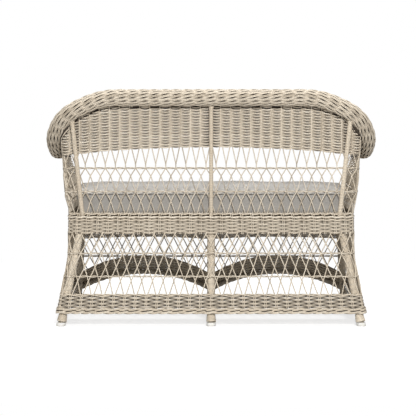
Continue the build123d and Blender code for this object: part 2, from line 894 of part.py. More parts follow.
low_net = lip_top + net_rim
upper_low_x = at_height(back_post, low_net)[0] - post_radius
upper_high_x = at_height(back_post, dense_post_height)[0] - post_radius
upper_edge_xs = [upper_high_x * index / dense_steps for index in range(dense_steps, -dense_steps - 1, -1)]
upper_region = [
    (-upper_low_x, low_net), (upper_low_x, low_net), *[(x, dense_edge(x) - net_rim) for x in upper_edge_xs]
]
with BuildPart() as upper_lattice_back:
    add(upper_back(lip_top, dense_back_height))
    add(open_block.part, mode=Mode.INTERSECT)
    upper_crossings = crossings(-upper_low_x, upper_low_x)
    add(
        net_gaps(Plane.XZ.offset(-back_foot_y), upper_region, upper_crossings, upper_line, upper_weaver_heights),
        mode=Mode.SUBTRACT,
    )
save(upper_lattice_back, "upper_lattice_back")

with BuildPart() as upper_weave_back:
    add(upper_back(dense_foot_height, roll_height))
    add(back_trim, mode=Mode.INTERSECT)
    add([open_block.part, straight_roll_envelope, rim_envelope], mode=Mode.SUBTRACT)
    add(
        row_hollows(dense_back_height, roll_height - roll_radius, dense_row_height, upper_back_y),
        mode=Mode.SUBTRACT,
    )
    mirror(rim_envelope, about=Plane.YZ, mode=Mode.SUBTRACT)
save(upper_weave_back, "upper_weave_back")

upper_side_levels = (lip_top, side_middle_height, side_crest_height, side_top_height)
upper_side_wall = wall([(height, *upper_plan(height), weave_thickness) for height in upper_side_levels])

upper_net_back = upper_back_y(lip_top) - upper_corner_radius - net_rim
upper_net_front = -front_post_y + net_rim
side_upper_region = [
    (upper_net_front, low_net),
    (upper_net_back, low_net),
    (upper_net_back, side_dense_edge(upper_net_back) - net_rim),
    (dense_level_y, dense_arm_height - net_rim),
    (upper_net_front, dense_arm_height - net_rim),
]
with BuildPart() as upper_lattice_side:
    add(upper_side_wall)
    add(side_trim, mode=Mode.INTERSECT)
    add(side_dense, mode=Mode.SUBTRACT)
    add(
        net_gaps(
            Plane.YZ.offset(back_foot_x),
            side_upper_region,
            crossings(upper_net_front, upper_net_back),
            upper_line,
            upper_weaver_heights,
        ),
        mode=Mode.SUBTRACT,
    )
save_pair(upper_lattice_side, "upper_lattice")

with BuildPart() as upper_weave_side:
    add(upper_side_wall)
    add(side_trim, mode=Mode.INTERSECT)
    add(side_dense, mode=Mode.INTERSECT)
    add(rim_envelope, mode=Mode.SUBTRACT)
save_pair(upper_weave_side, "upper_weave")

# Front: seat band, lattice, two arched aprons and their trim

def arc_height(end_height, top_height, x):
    """Height of one apron's edge at a distance from the middle of the front."""
    half_span = front_foot_x / 2
    rise = top_height - end_height
    bend = (half_span * half_span + rise * rise) / (2 * rise)
    across = x - half_span
    return top_height - bend + (bend * bend - across * across) ** (1 / 2)


def arch_prism(low_end, low_top, high_end, high_top):
    """Prism through the front between two arched edges, on the sitter's left."""
    end_x = front_foot_x
    with BuildPart() as block:
        with BuildSketch(Plane.XZ):
            with BuildLine():
                ThreePointArc((0, low_end), (end_x / 2, low_top), (end_x, low_end))
                Line((end_x, low_end), (end_x, high_end))
                ThreePointArc((end_x, high_end), (end_x / 2, high_top), (0, high_end))
                Line((0, high_end), (0, low_end))
            make_face()
        extrude(amount=front_foot_y + net_cut_depth)
    return block.part


band_cap_height = seat_band_top + cut_overrun
band_prism = arch_prism(front_band_end, front_band_rise, band_cap_height, band_cap_height + cut_overrun)
with BuildPart() as seat_band_front:
    add(skirt_front(front_band_end, seat_band_top, weave_thickness, 0))
    add(band_prism, mode=Mode.INTERSECT)
    mirror(seat_band_front.part, about=Plane.YZ)
    add(row_hollows(front_band_rise, seat_band_top, band_row_height, front_y), mode=Mode.SUBTRACT)
save(seat_band_front, "seat_band_front")

trim_top_end = border_bottom + trim_height
trim_top = apron_rise_low + trim_height
front_wall = skirt_front(border_bottom, seat_band_bottom, weave_thickness, 0)
front_trim_wall = skirt_front(border_bottom, seat_band_bottom, border_thickness, border_extra)
trim_prism = arch_prism(border_bottom, apron_rise_low, trim_top_end, trim_top)
apron_prism = arch_prism(trim_top_end, trim_top, apron_end_height, apron_rise_high)

with BuildPart() as apron_trim:
    add(front_trim_wall)
    add(trim_prism, mode=Mode.INTERSECT)
    mirror(apron_trim.part, about=Plane.YZ)
save(apron_trim, "apron_trim")

with BuildPart() as front_apron:
    add(front_wall)
    add(apron_prism, mode=Mode.INTERSECT)
    split(bisect_by=Plane.YZ.offset(fit_gap / 2), keep=Keep.TOP)
save_pair(front_apron, "front_apron")

front_knot_gap = front_band_rise - front_weaver_height
front_line = [
    (-strand_pitch, front_band_rise + front_knot_gap),
    (0, front_band_rise),
    (strand_pitch, front_weaver_height),
    (2 * strand_pitch, front_weaver_height - front_knot_gap),
]
front_half_width = lower_plan(front_band_end, 0)[0][-1][0] - net_rim
edge_xs = [front_half_width * index / apron_steps for index in range(apron_steps + 1)]
apron_edge = [(x, arc_height(apron_end_height, apron_rise_high, x) + net_rim) for x in edge_xs]
band_edge = [(x, arc_height(front_band_end, front_band_rise, x) - net_rim) for x in reversed(edge_xs)]
front_region = apron_edge + band_edge
with BuildPart() as half_gaps:
    add(
        net_gaps(
            Plane.XZ.offset(front_post_y),
            front_region,
            crossings(-front_half_width, front_half_width),
            front_line,
            (front_weaver_height,),
        )
    )
net_prism = arch_prism(apron_end_height, apron_rise_high, front_band_end, front_band_rise)
with BuildPart() as half_net_wall:
    add(front_wall)
    add(net_prism, mode=Mode.INTERSECT)
with BuildPart() as front_lattice:
    add(half_net_wall.part)
    mirror(half_net_wall.part, about=Plane.YZ)
    add(half_gaps.part, mode=Mode.SUBTRACT)
    mirror(half_gaps.part, about=Plane.YZ, mode=Mode.SUBTRACT)
front_net = front_lattice.part.solids().sort_by(SortBy.VOLUME)[-1]
with BuildPart() as front_lattice_net:
    add(front_net)
save(front_lattice_net, "front_lattice")

# Seat deck

deck_front_y = at_height(front_leg, deck_top)[1] - lower_offset + weave_thickness / 2 + fit_gap
with BuildPart() as seat_deck:
    with BuildSketch(Plane.XY.offset(junction_height + fit_gap)) as deck_plan:
        Polygon(
            (-deck_half_width, deck_front_y),
            (deck_half_width, deck_front_y),
            (deck_half_width, deck_back_y),
            (-deck_half_width, deck_back_y),
        )
        fillet(deck_plan.vertices().group_by(Axis.Y)[-1], radius=deck_corner_radius)
    extrude(amount=deck_thickness)
    add(post_envelopes + [centre_post_envelope], mode=Mode.SUBTRACT)
    mirror(post_envelopes, about=Plane.YZ, mode=Mode.SUBTRACT)
save(seat_deck, "seat_deck")

# Cushion: a sewn cover over a foam core, with a crown and drawn-in sides

cushion_bottom = deck_top + fit_gap
cushion_levels = (
    (0, cushion_edge_inset),
    (cushion_edge_height, 0),
    ((cushion_edge_height + cushion_seam_height) / 2, cushion_waist_inset),
    (cushion_seam_height, 0),
    (cushion_shoulder_height, cushion_shoulder_inset),
    (cushion_crown_height, cushion_crown_inset),
)


def cushion_solid(shrink):
    """Cushion made smaller on every side by one thickness."""
    sections = []
    for height, inset in cushion_levels:
        at = cushion_bottom + height
        if height == 0:
            at += shrink
        elif height == cushion_crown_height:
            at -= shrink
        side = inset + shrink
        with BuildSketch(Plane.XY.offset(at)) as section:
            Polygon(
                (-cushion_front_half_width + side, -cushion_front_y + side),
                (cushion_front_half_width - side, -cushion_front_y + side),
                (cushion_back_half_width - side, cushion_back_y - side),
                (-cushion_back_half_width + side, cushion_back_y - side),
            )
            fillet(section.vertices(), radius=cushion_corner_radius)
        sections.append(section.sketch)
    with BuildPart() as pad:
        loft(sections=sections, ruled=True)
    return pad.part


with BuildPart() as cushion_cover:
    add(cushion_solid(0))
    add(cushion_solid(cover_thickness), mode=Mode.SUBTRACT)
save(cushion_cover, "cushion_cover")

with BuildPart() as cushion_core:
    add(cushion_solid(cover_thickness + fit_gap))
save(cushion_core, "cushion_core")
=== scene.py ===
"""Woven patio loveseat: strands, wraps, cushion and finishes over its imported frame.

Lengths are in metres, in the frame's axes: the sitter faces -Y, +Z is up and +X is the sitter's left.
"""

import logging
import math
from dataclasses import dataclass, field
from enum import Enum
from typing import Any, Callable, Iterable, Iterator, Sequence, Union

import bpy
import numpy as np
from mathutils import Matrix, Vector


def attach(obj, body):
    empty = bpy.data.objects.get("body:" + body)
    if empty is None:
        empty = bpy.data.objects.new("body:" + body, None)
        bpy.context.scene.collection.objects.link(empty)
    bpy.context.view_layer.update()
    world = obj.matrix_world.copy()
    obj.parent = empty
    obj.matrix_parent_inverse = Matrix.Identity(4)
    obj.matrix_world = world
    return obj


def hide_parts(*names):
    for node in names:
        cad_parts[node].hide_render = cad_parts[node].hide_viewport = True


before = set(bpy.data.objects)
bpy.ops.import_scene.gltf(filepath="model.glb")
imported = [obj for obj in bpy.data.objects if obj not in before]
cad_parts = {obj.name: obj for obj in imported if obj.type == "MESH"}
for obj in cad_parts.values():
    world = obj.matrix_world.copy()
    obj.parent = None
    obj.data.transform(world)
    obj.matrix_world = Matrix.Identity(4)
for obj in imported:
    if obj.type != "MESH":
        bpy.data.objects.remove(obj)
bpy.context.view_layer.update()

log = logging.getLogger("loveseat")

FRAME_BODY = "frame"
CUSHION_BODY = "cushion"
STAKE_PITCH = 0.0378
FRONT_PITCH = 0.03785
STRAND_SEED = 11
UP = Vector((0.0, 0.0, 1.0))
ROLL_Y = 0.345
ROLL_Z = 0.858
PLY_GAP = 0.0019
LATTICE_STEP = 0.009
BUNDLES = ((0.0, -0.5), (0.0, 0.5), (math.pi, -0.5), (math.pi, 0.5))

Color = tuple[float, float, float]
Points = Sequence[Vector]
Spot = tuple[Vector, Vector, float]


def srgb(red: int, green: int, blue: int) -> Color:
    """Linear colour of an sRGB colour given in 0 to 255."""
    return tuple((c / 12.92 if c <= 0.04045 else ((c + 0.055) / 1.055) ** 2.4)
                 for c in (red / 255, green / 255, blue / 255))


def mirrored(points: Points) -> list[Vector]:
    """The same points on the sitter's other side."""
    return [Vector((-point.x, point.y, point.z)) for point in points]


def linked(name: str, data: Any) -> bpy.types.Object:
    """New object of some data, in the scene."""
    made = bpy.data.objects.new(name, data)
    bpy.context.scene.collection.objects.link(made)
    return made


def unbroken(items: Iterable[Any], least: int) -> Iterator[list[Any]]:
    """Splits items at the gaps between them.

    Args:
        items: Places or spots in order, with None at each gap.
        least: How many a run needs to count.

    Yields:
        Each run that is long enough.
    """
    run: list[Any] = []
    for item in [*items, None]:
        if item is not None:
            run.append(item)
            continue
        if len(run) >= least:
            yield run
        run = []


# Node trees

class Signal:
    """An output socket on which arithmetic adds Math and Vector Math nodes."""

    def __init__(self, kit: "NodeKit", socket: bpy.types.NodeSocket) -> None:
        """Keeps the socket.

        Args:
            kit: Builder of the tree that the socket is in.
            socket: The output socket.
        """
        self.kit = kit
        self.socket = socket

    @property
    def is_vector(self) -> bool:
        """Whether the socket carries a vector or a colour."""
        return self.socket.type in ("VECTOR", "RGBA")

    def _join(self, operation: str, first: "Operand", second: "Operand") -> "Signal":
        """Node of one operation on two operands.

        Args:
            operation: Name of the Math operation.
            first: Left operand.
            second: Right operand.

        Returns:
            The node's result.
        """
        vectors = [item for item in (first, second) if isinstance(item, Signal) and item.is_vector]
        if not vectors:
            return self.kit.add("ShaderNodeMath", {"operation": operation}, {0: first, 1: second})[0]
        if operation == "MULTIPLY" and len(vectors) == 1:
            scale = second if vectors[0] is first else first
            return self.kit.add("ShaderNodeVectorMath", {"operation": "SCALE"}, {0: vectors[0], "Scale": scale})[0]
        return self.kit.add("ShaderNodeVectorMath", {"operation": operation}, {0: first, 1: second})[0]

    def __add__(self, other: "Operand") -> "Signal":
        """Sum."""
        return self._join("ADD", self, other)

    __radd__ = __add__

    def __sub__(self, other: "Operand") -> "Signal":
        """Difference."""
        return self._join("SUBTRACT", self, other)

    def __rsub__(self, other: "Operand") -> "Signal":
        """Difference from a number."""
        return self._join("SUBTRACT", other, self)

    def __mul__(self, other: "Operand") -> "Signal":
        """Product, or a vector scaled by a number."""
        return self._join("MULTIPLY", self, other)

    __rmul__ = __mul__

    def __truediv__(self, other: "Operand") -> "Signal":
        """Quotient."""
        return self._join("DIVIDE", self, other)

    def __rtruediv__(self, other: "Operand") -> "Signal":
        """Quotient of a number."""
        return self._join("DIVIDE", other, self)

    def shaped(self, operation: str, *others: "Operand") -> "Signal":
        """Result of any other Math operation, such as SINE or MAXIMUM."""
        return self.kit.add("ShaderNodeMath", {"operation": operation}, dict(enumerate((self, *others))))[0]


Operand = Union[Signal, float]


class Added:
    """A node that was added, whose outputs are read as signals."""

    def __init__(self, kit: "NodeKit", node: bpy.types.Node) -> None:
        self.kit = kit
        self.node = node

    def __getitem__(self, key: Union[int, str]) -> Signal:
        """Output by its place or name."""
        return Signal(self.kit, self.node.outputs[key])


class NodeKit:
    """Adds nodes to one shader or geometry tree."""

    def __init__(self, tree: bpy.types.NodeTree) -> None:
        """Keeps the tree."""
        self.tree = tree

    def add(self, kind: str, settings: dict[str, Any] | None = None, sockets: dict[Any, Any] | None = None) -> Added:
        """Adds a node, sets it up and feeds it.

        Args:
            kind: The node's type.
            settings: Its properties; "stops" gives a ramp's places and colours.
            sockets: Values or signals of its inputs, by place or name.

        Returns:
            The node with its outputs.
        """
        node = self.tree.nodes.new(kind)
        for name, value in (settings or {}).items():
            if name != "stops":
                setattr(node, name, value)
                continue
            ramp = node.color_ramp
            while len(ramp.elements) < len(value):
                ramp.elements.new(0.5)
            for element, (place, color) in zip(ramp.elements, value):
                element.position = place
                element.color = (*color, 1.0)
        for key, value in (sockets or {}).items():
            socket = node.inputs[key]
            if isinstance(value, Signal):
                self.tree.links.new(value.socket, socket)
            elif socket.type == "RGBA" and len(value) == 3:
                socket.default_value = (*value, 1.0)
            else:
                socket.default_value = value
        return Added(self, node)

    def mixed(self, factor: Operand, first: Any, second: Any) -> Signal:
        """Colour between two colours."""
        return self.add("ShaderNodeMix", {"data_type": "RGBA"}, {0: factor, 6: first, 7: second})[2]

    def blended(self, factor: Signal, first: Signal, second: Signal) -> Signal:
        """Shader between two shaders."""
        return self.add("ShaderNodeMixShader", {}, {0: factor, 1: first, 2: second})[0]

    def noise(self, place: Signal, scale: float, detail: float = 2.0) -> Signal:
        """Noise of one scale at a place."""
        return self.add("ShaderNodeTexNoise", {}, {"Vector": place, "Scale": scale, "Detail": detail})["Fac"]

    def attribute(self, name: str, output: str = "Fac") -> Signal:
        """Value that the mesh carries under a name."""
        return self.add("ShaderNodeAttribute", {"attribute_name": name})[output]

    def bump(self, height: Signal, strength: float, distance: float) -> Signal:
        """Normal of a surface that stands up by a height."""
        return self.add("ShaderNodeBump", {}, {"Strength": strength, "Distance": distance, "Height": height})["Normal"]

    def principled(self, color: Signal, roughness: Operand, more: dict[str, Any]) -> Signal:
        """Principled shader of a colour and a roughness, with more inputs by name."""
        return self.add("ShaderNodeBsdfPrincipled", {}, {"Base Color": color, "Roughness": roughness, **more})["BSDF"]


# Finishes

class Surface:
    """A finish that builds its own material."""

    name: str

    def shader(self, kit: NodeKit, place: Signal) -> Signal:
        """Shader at a place in Object coordinates."""
        raise NotImplementedError

    def build(self) -> bpy.types.Material:
        """Makes the material.

        Returns:
            A material whose surface is the finish's shader.
        """
        material = bpy.data.materials.new(self.name)
        material.use_nodes = True
        material.node_tree.nodes.clear()
        kit = NodeKit(material.node_tree)
        shader = self.shader(kit, kit.add("ShaderNodeTexCoord")["Object"])
        kit.add("ShaderNodeOutputMaterial", {}, {"Surface": shader})
        return material


@dataclass(frozen=True)
class StrandFinish(Surface):
    """Weathered resin strand, a little darker or paler from strand to strand, with shade painted where it passes
    behind others and on its flanks.
    """

    name: str
    pale: Color
    middle: Color
    dark: Color
    # colour and strength of the shade painted behind other strands and on their flanks
    crevice_shade: Color
    shade_amount: float = 0.0
    grain_height: float = 0.0003
    unshaded_lift: float = 0.08
    flank_start: float = 0.66
    flank_gain: float = 1.1
    most_shade: float = 0.92

    def painted_shade(self, kit: NodeKit) -> Signal:
        """Painted shade on a strand where it passes behind others, and on its flanks.

        Args:
            kit: Builder of the material's tree.

        Returns:
            0 where no shade is painted.
        """
        lift = kit.attribute("lift")
        normal = kit.add("ShaderNodeNewGeometry")["Normal"]
        facing, flank = (kit.add("ShaderNodeVectorMath", {"operation": "DOT_PRODUCT"}, {
            0: normal, 1: kit.attribute(key, "Vector")})["Value"] for key in ("outward", "across"))
        # painted shade on the strand's flanks and where it lies behind its neighbours, in place of the shade they
        # would cast
        flank = ((flank.shaped("ABSOLUTE") - self.flank_start) * self.flank_gain).shaped("MAXIMUM", 0.0)
        hidden = ((self.unshaded_lift - lift * facing) * self.shade_amount).shaped("MAXIMUM", 0.0) + flank
        return hidden.shaped("MINIMUM", self.most_shade)

    def shader(self, kit: NodeKit, place: Signal) -> Signal:
        """Plastic toned by each strand's own value and slow weathering, and darkened by painted shade behind others
        and on its flanks.

        Args:
            kit: Builder of the material's tree.
            place: Object coordinates.

        Returns:
            The shader.
        """
        cloud, grain, streak = kit.noise(place, 9.0, 3.0), kit.noise(place, 420.0), kit.noise(place, 70.0)
        level = kit.attribute("tone") * 0.55 + cloud * 0.3 + streak * 0.25 + grain * 0.1 - 0.1
        low = kit.mixed((level * 2.0).shaped("MINIMUM", 1.0), self.dark, self.middle)
        color = kit.mixed((level * 2.0 - 1.0).shaped("MAXIMUM", 0.0), low, self.pale)
        # painted shade mixed into the colour
        if self.shade_amount:
            color = kit.mixed(self.painted_shade(kit), color, self.crevice_shade)
        bump = kit.bump(grain + streak, 0.5, self.grain_height)
        return kit.principled(color, grain * 0.16 + 0.46, {"Normal": bump, "IOR": 1.45})


@dataclass(frozen=True)
class ShadeFillFinish(Surface):
    """Dark fill that stands for shade: inside the rolled rim, under it and behind the border, seen only between
    strands.
    """

    name: str
    color: Color
    paler: float = 1.8

    def shader(self, kit: NodeKit, place: Signal) -> Signal:
        """Dull dark surface with slow changes, as painted shade."""
        color = kit.mixed(kit.noise(place, 60.0), self.color, tuple(self.paler * c for c in self.color))
        return kit.principled(color, 0.85, {})


@dataclass(frozen=True)
class PaintedTubeFinish(Surface):
    """Powder coat on the aluminium tubes, with its faint orange-peel."""

    name: str
    color: Color
    dust: Color

    def shader(self, kit: NodeKit, place: Signal) -> Signal:
        """Satin paint with some dust on it."""
        cloud = kit.noise(place, 14.0, 4.0)
        bump = kit.bump(kit.noise(place, 900.0, 1.0), 0.25, 0.0002)
        return kit.principled(kit.mixed(cloud * 0.5, self.color, self.dust), cloud * 0.2 + 0.32, {"Normal": bump})


@dataclass(frozen=True)
class GlideFinish(Surface):
    """Cloudy, slightly scuffed plastic of the foot glides."""

    name: str
    color: Color
    scuff: Color

    def shader(self, kit: NodeKit, place: Signal) -> Signal:
        """Pale plastic that is scuffed towards the floor."""
        height = kit.add("ShaderNodeSeparateXYZ", {}, {0: place})["Z"]
        wear = (1.0 - height * 160.0).shaped("MAXIMUM", 0.0) * kit.noise(place, 300.0, 3.0)
        return kit.principled(kit.mixed(wear, self.color, self.scuff), wear * 0.4 + 0.3, {
            "Subsurface Weight": 0.2, "Subsurface Radius": (0.004, 0.004, 0.003)})


@dataclass(frozen=True)
class DeckFinish(Surface):
    """Flat plain weave of the seat deck, with shade painted between its strands."""

    name: str
    pale: Color
    dark: Color
    strand: float = 0.0052
    relief: float = 0.0024

    def shader(self, kit: NodeKit, place: Signal) -> Signal:
        """Strands in rows along X that pass over and under stakes along Y.

        Args:
            kit: Builder of the material's tree.
            place: Object coordinates.

        Returns:
            The shader.
        """
        parts = kit.add("ShaderNodeSeparateXYZ", {}, {0: place})
        row = parts["Y"] / self.strand
        column = parts["X"] / STAKE_PITCH
        turn = row.shaped("FLOOR") * math.pi
        over = (column * math.pi + turn).shaped("COSINE") * 0.5 + 0.5
        height = (row * math.pi).shaped("SINE").shaped("ABSOLUTE") * (over * 0.6 + 0.4)
        grain = kit.noise(place, 320.0)
        # painted shade: darker in the gaps between strands and where they pass under
        color = kit.mixed((height * 0.9 + grain * 0.2).shaped("MINIMUM", 1.0), self.dark, self.pale)
        return kit.principled(color, grain * 0.2 + 0.5, {"Normal": kit.bump(height, 0.8, self.relief)})


@dataclass(frozen=True)
class FabricFinish(Surface):
    """Light grey outdoor fabric: a plain weave with slubs, with shade painted on the sides and underside."""

    name: str
    color: Color
    thread: Color
    side_shade: float = 0.36
    shade: Color = (0.05, 0.048, 0.043)
    thread_pitch: float = 0.0011
    thread_height: float = 0.0004

    def shader(self, kit: NodeKit, place: Signal) -> Signal:
        """Woven cloth on Object coordinates.

        Args:
            kit: Builder of the material's tree.
            place: Object coordinates.

        Returns:
            The shader.
        """
        parts = kit.add("ShaderNodeSeparateXYZ", {}, {0: place})
        step = 2.0 * math.pi / self.thread_pitch
        warp = ((parts["X"] + parts["Z"] * 0.35) * step).shaped("SINE")
        weft = ((parts["Y"] + parts["Z"] * 0.94) * step).shaped("SINE")
        weave = warp * weft * 0.5 + 0.5
        slub = kit.noise(place, 240.0)
        color = kit.mixed(weave * 0.45 + slub * 0.35 + kit.noise(place, 6.0) * 0.2, self.thread, self.color)
        # painted shade: darker where the surface turns away from the top
        upward = kit.add("ShaderNodeSeparateXYZ", {}, {0: kit.add("ShaderNodeNewGeometry")["Normal"]})["Z"]
        color = kit.mixed((1.0 - upward.shaped("MAXIMUM", 0.0)) * self.side_shade, color, self.shade)
        bump = kit.bump(weave + slub, 0.35, self.thread_height)
        return kit.principled(color, slub * 0.1 + 0.8, {"Normal": bump, "Sheen Weight": 0.25})


@dataclass(frozen=True)
class FloorFinish(Surface):
    """White floor that shows the camera only the soft shadow round the feet."""

    name: str
    shadow_share: float = 0.6
    glow: float = 1.72
    near: float = 0.8
    far: float = 2.2
    paint: float = 0.86
    bounce: float = 0.66

    def shader(self, kit: NodeKit, place: Signal) -> Signal:
        """Diffuse floor, blended with white for camera and transmitted rays.

        Args:
            kit: Builder of the material's tree.
            place: Object coordinates.

        Returns:
            The shader.
        """
        away = kit.add("ShaderNodeVectorMath", {"operation": "LENGTH"}, {0: place})["Value"]
        close = ((self.far - away) / (self.far - self.near)).shaped("MAXIMUM", 0.0).shaped("MINIMUM", 1.0)
        path = kit.add("ShaderNodeLightPath")
        camera = path["Is Camera Ray"]
        seen = camera + path["Is Transmission Ray"] * (1.0 - camera)
        bounced, painted = (kit.add("ShaderNodeBsdfDiffuse", {}, {"Color": (tint,) * 3})["BSDF"]
                            for tint in (self.bounce, self.paint))
        white, glowing = (kit.add("ShaderNodeEmission", {}, {"Color": (1.0,) * 3, "Strength": strength})["Emission"]
                          for strength in (1.0, self.glow))
        light = kit.blended(camera * close, white, glowing)
        return kit.blended(seen * (1.0 - close * self.shadow_share), kit.blended(seen, bounced, painted), light)


class Finish(Enum):
    """The loveseat's finishes."""

    STRAND = StrandFinish("woven_strand", srgb(236, 226, 209), srgb(206, 193, 173), srgb(152, 139, 120),
                          srgb(50, 42, 34), 0.66)
    WOUND = StrandFinish("wound_strand", srgb(236, 226, 208), srgb(216, 203, 183), srgb(176, 163, 143),
                         srgb(58, 49, 40))
    # painted shade: a dark fill where the strands would lie in shadow
    LINING = ShadeFillFinish("roll_lining", srgb(52, 44, 36))
    TUBE = PaintedTubeFinish("frame_paint", srgb(150, 140, 124), srgb(128, 118, 103))
    GLIDE = GlideFinish("glide_plastic", srgb(226, 224, 219), srgb(160, 156, 150))
    DECK = DeckFinish("deck_weave", srgb(205, 190, 163), srgb(96, 82, 64))
    FABRIC = FabricFinish("cushion_fabric", srgb(193, 189, 183), srgb(164, 160, 154))
    FLOOR = FloorFinish("studio_floor")


class Palette:
    """Builds each finish once."""

    def __init__(self) -> None:
        """Starts with nothing built."""
        self.built: dict[Finish, bpy.types.Material] = {}

    def __getitem__(self, finish: Finish) -> bpy.types.Material:
        """Material of a finish."""
        if finish not in self.built:
            self.built[finish] = finish.value.build()
        return self.built[finish]


# Strands

@dataclass
class Guides:
    """Lines that strands follow, with what each point knows about the weave.

    along counts half waves, phase shifts them, outward and across are the weave's two directions, and deep says
    how much shade is painted on a point, as in a dark corner.
    """

    seed: int = STRAND_SEED
    places: list[Vector] = field(default_factory=list)
    outward: list[Vector] = field(default_factory=list)
    across: list[Vector] = field(default_factory=list)
    along: list[float] = field(default_factory=list)
    phase: list[float] = field(default_factory=list)
    tone: list[float] = field(default_factory=list)
    # painted shade of each point
    deep: list[float] = field(default_factory=list)
    edges: list[tuple[int, int]] = field(default_factory=list)

    def __post_init__(self) -> None:
        """Starts the fixed random tones."""
        self.random = np.random.default_rng(self.seed)

    def add(self, places: Points, outward: Points, across: Points, along: Sequence[float], phase: float = 0.0,
            deep: Sequence[float] = ()) -> None:
        """Adds one line, unless it is a single point.

        Args:
            places: Its points.
            outward: Direction of the weave's depth at each point.
            across: Direction across the strand at each point.
            along: Half waves up to each point.
            phase: Shift of the waves, in radians.
            deep: How much shade is painted on each point, or nothing where none is.
        """
        if len(places) < 2:
            return
        start = len(self.places)
        count = len(places)
        tone = float(np.clip(self.random.normal(0.55, 0.2), 0.05, 1.0))
        self.places += places
        self.outward += outward
        self.across += across
        self.along += list(along)
        self.phase += [phase] * count
        self.tone += [tone] * count
        self.deep += list(deep) or [0.0] * count
        self.edges += [(start + index, start + index + 1) for index in range(count - 1)]

    def add_plain(self, places: Points) -> None:
        """Adds a line that doesn't wave."""
        still = [Vector((0.0, 0.0, 0.0))] * len(places)
        self.add(list(places), still, still, [0.0] * len(places))

    def add_stretches(self, places: Iterable[Union[Vector, None]]) -> None:
        """Adds a line that doesn't wave for each stretch between the Nones."""
        for stretch in unbroken(places, 2):
            self.add_plain(stretch)

    def add_run(self, run: Sequence[Spot], phase: float = 0.0, shift: float = 0.0, rise: float = 0.0,
                deep: Sequence[float] = ()) -> None:
        """Adds a strand through spots of a skin: point, outward direction and stake number.

        Args:
            run: The spots.
            phase: Shift of the waves, in radians.
            shift: Stake number that the waves are counted from.
            rise: How far above the spots it runs.
            deep: How much shade is painted on each spot.
        """
        self.add([place + UP * rise for place, _, _ in run], [outward for _, outward, _ in run], [UP] * len(run),
                 [stake - shift for _, _, stake in run], phase, deep)

    def mirror(self) -> "Guides":
        """The same lines on the sitter's other side, with tones of their own."""
        twin = Guides(self.seed + 1)
        twin.places, twin.outward, twin.across = (mirrored(self.places), mirrored(self.outward),
                                                  mirrored(self.across))
        twin.along, twin.phase, twin.edges = list(self.along), list(self.phase), list(self.edges)
        twin.tone, twin.deep = list(self.tone), list(self.deep)
        return twin

    def mesh(self, name: str) -> bpy.types.Mesh:
        """Mesh of loose edges that carries the lines' values."""
        mesh = bpy.data.meshes.new(name)
        mesh.from_pydata(self.places, self.edges, [])
        for key, values in (("outward", self.outward), ("across", self.across)):
            layer = mesh.attributes.new(key, "FLOAT_VECTOR", "POINT")
            layer.data.foreach_set("vector", np.array(values, dtype=np.float32).ravel())
        for key, values in (("along", self.along), ("phase", self.phase), ("tone", self.tone), ("deep", self.deep)):
            layer = mesh.attributes.new(key, "FLOAT", "POINT")
            layer.data.foreach_set("value", np.array(values, dtype=np.float32))
        return mesh


@dataclass(frozen=True)
class Weave:
    """Sizes of strands that follow their guides.

    depth waves in and out, twist waves across, dip bends the strand towards each stake.
    """

    radius: float
    depth: float = 0.0
    twist: float = 0.0
    dip: float = 0.0
    spacing: float = 0.0055
    sides: int = 5


CROSSING = Weave(0.00215, spacing=0.008)
TWINED = Weave(0.0019, depth=0.0034, twist=0.0021)
FRONT_UPRIGHT = Weave(0.0018, spacing=0.012)


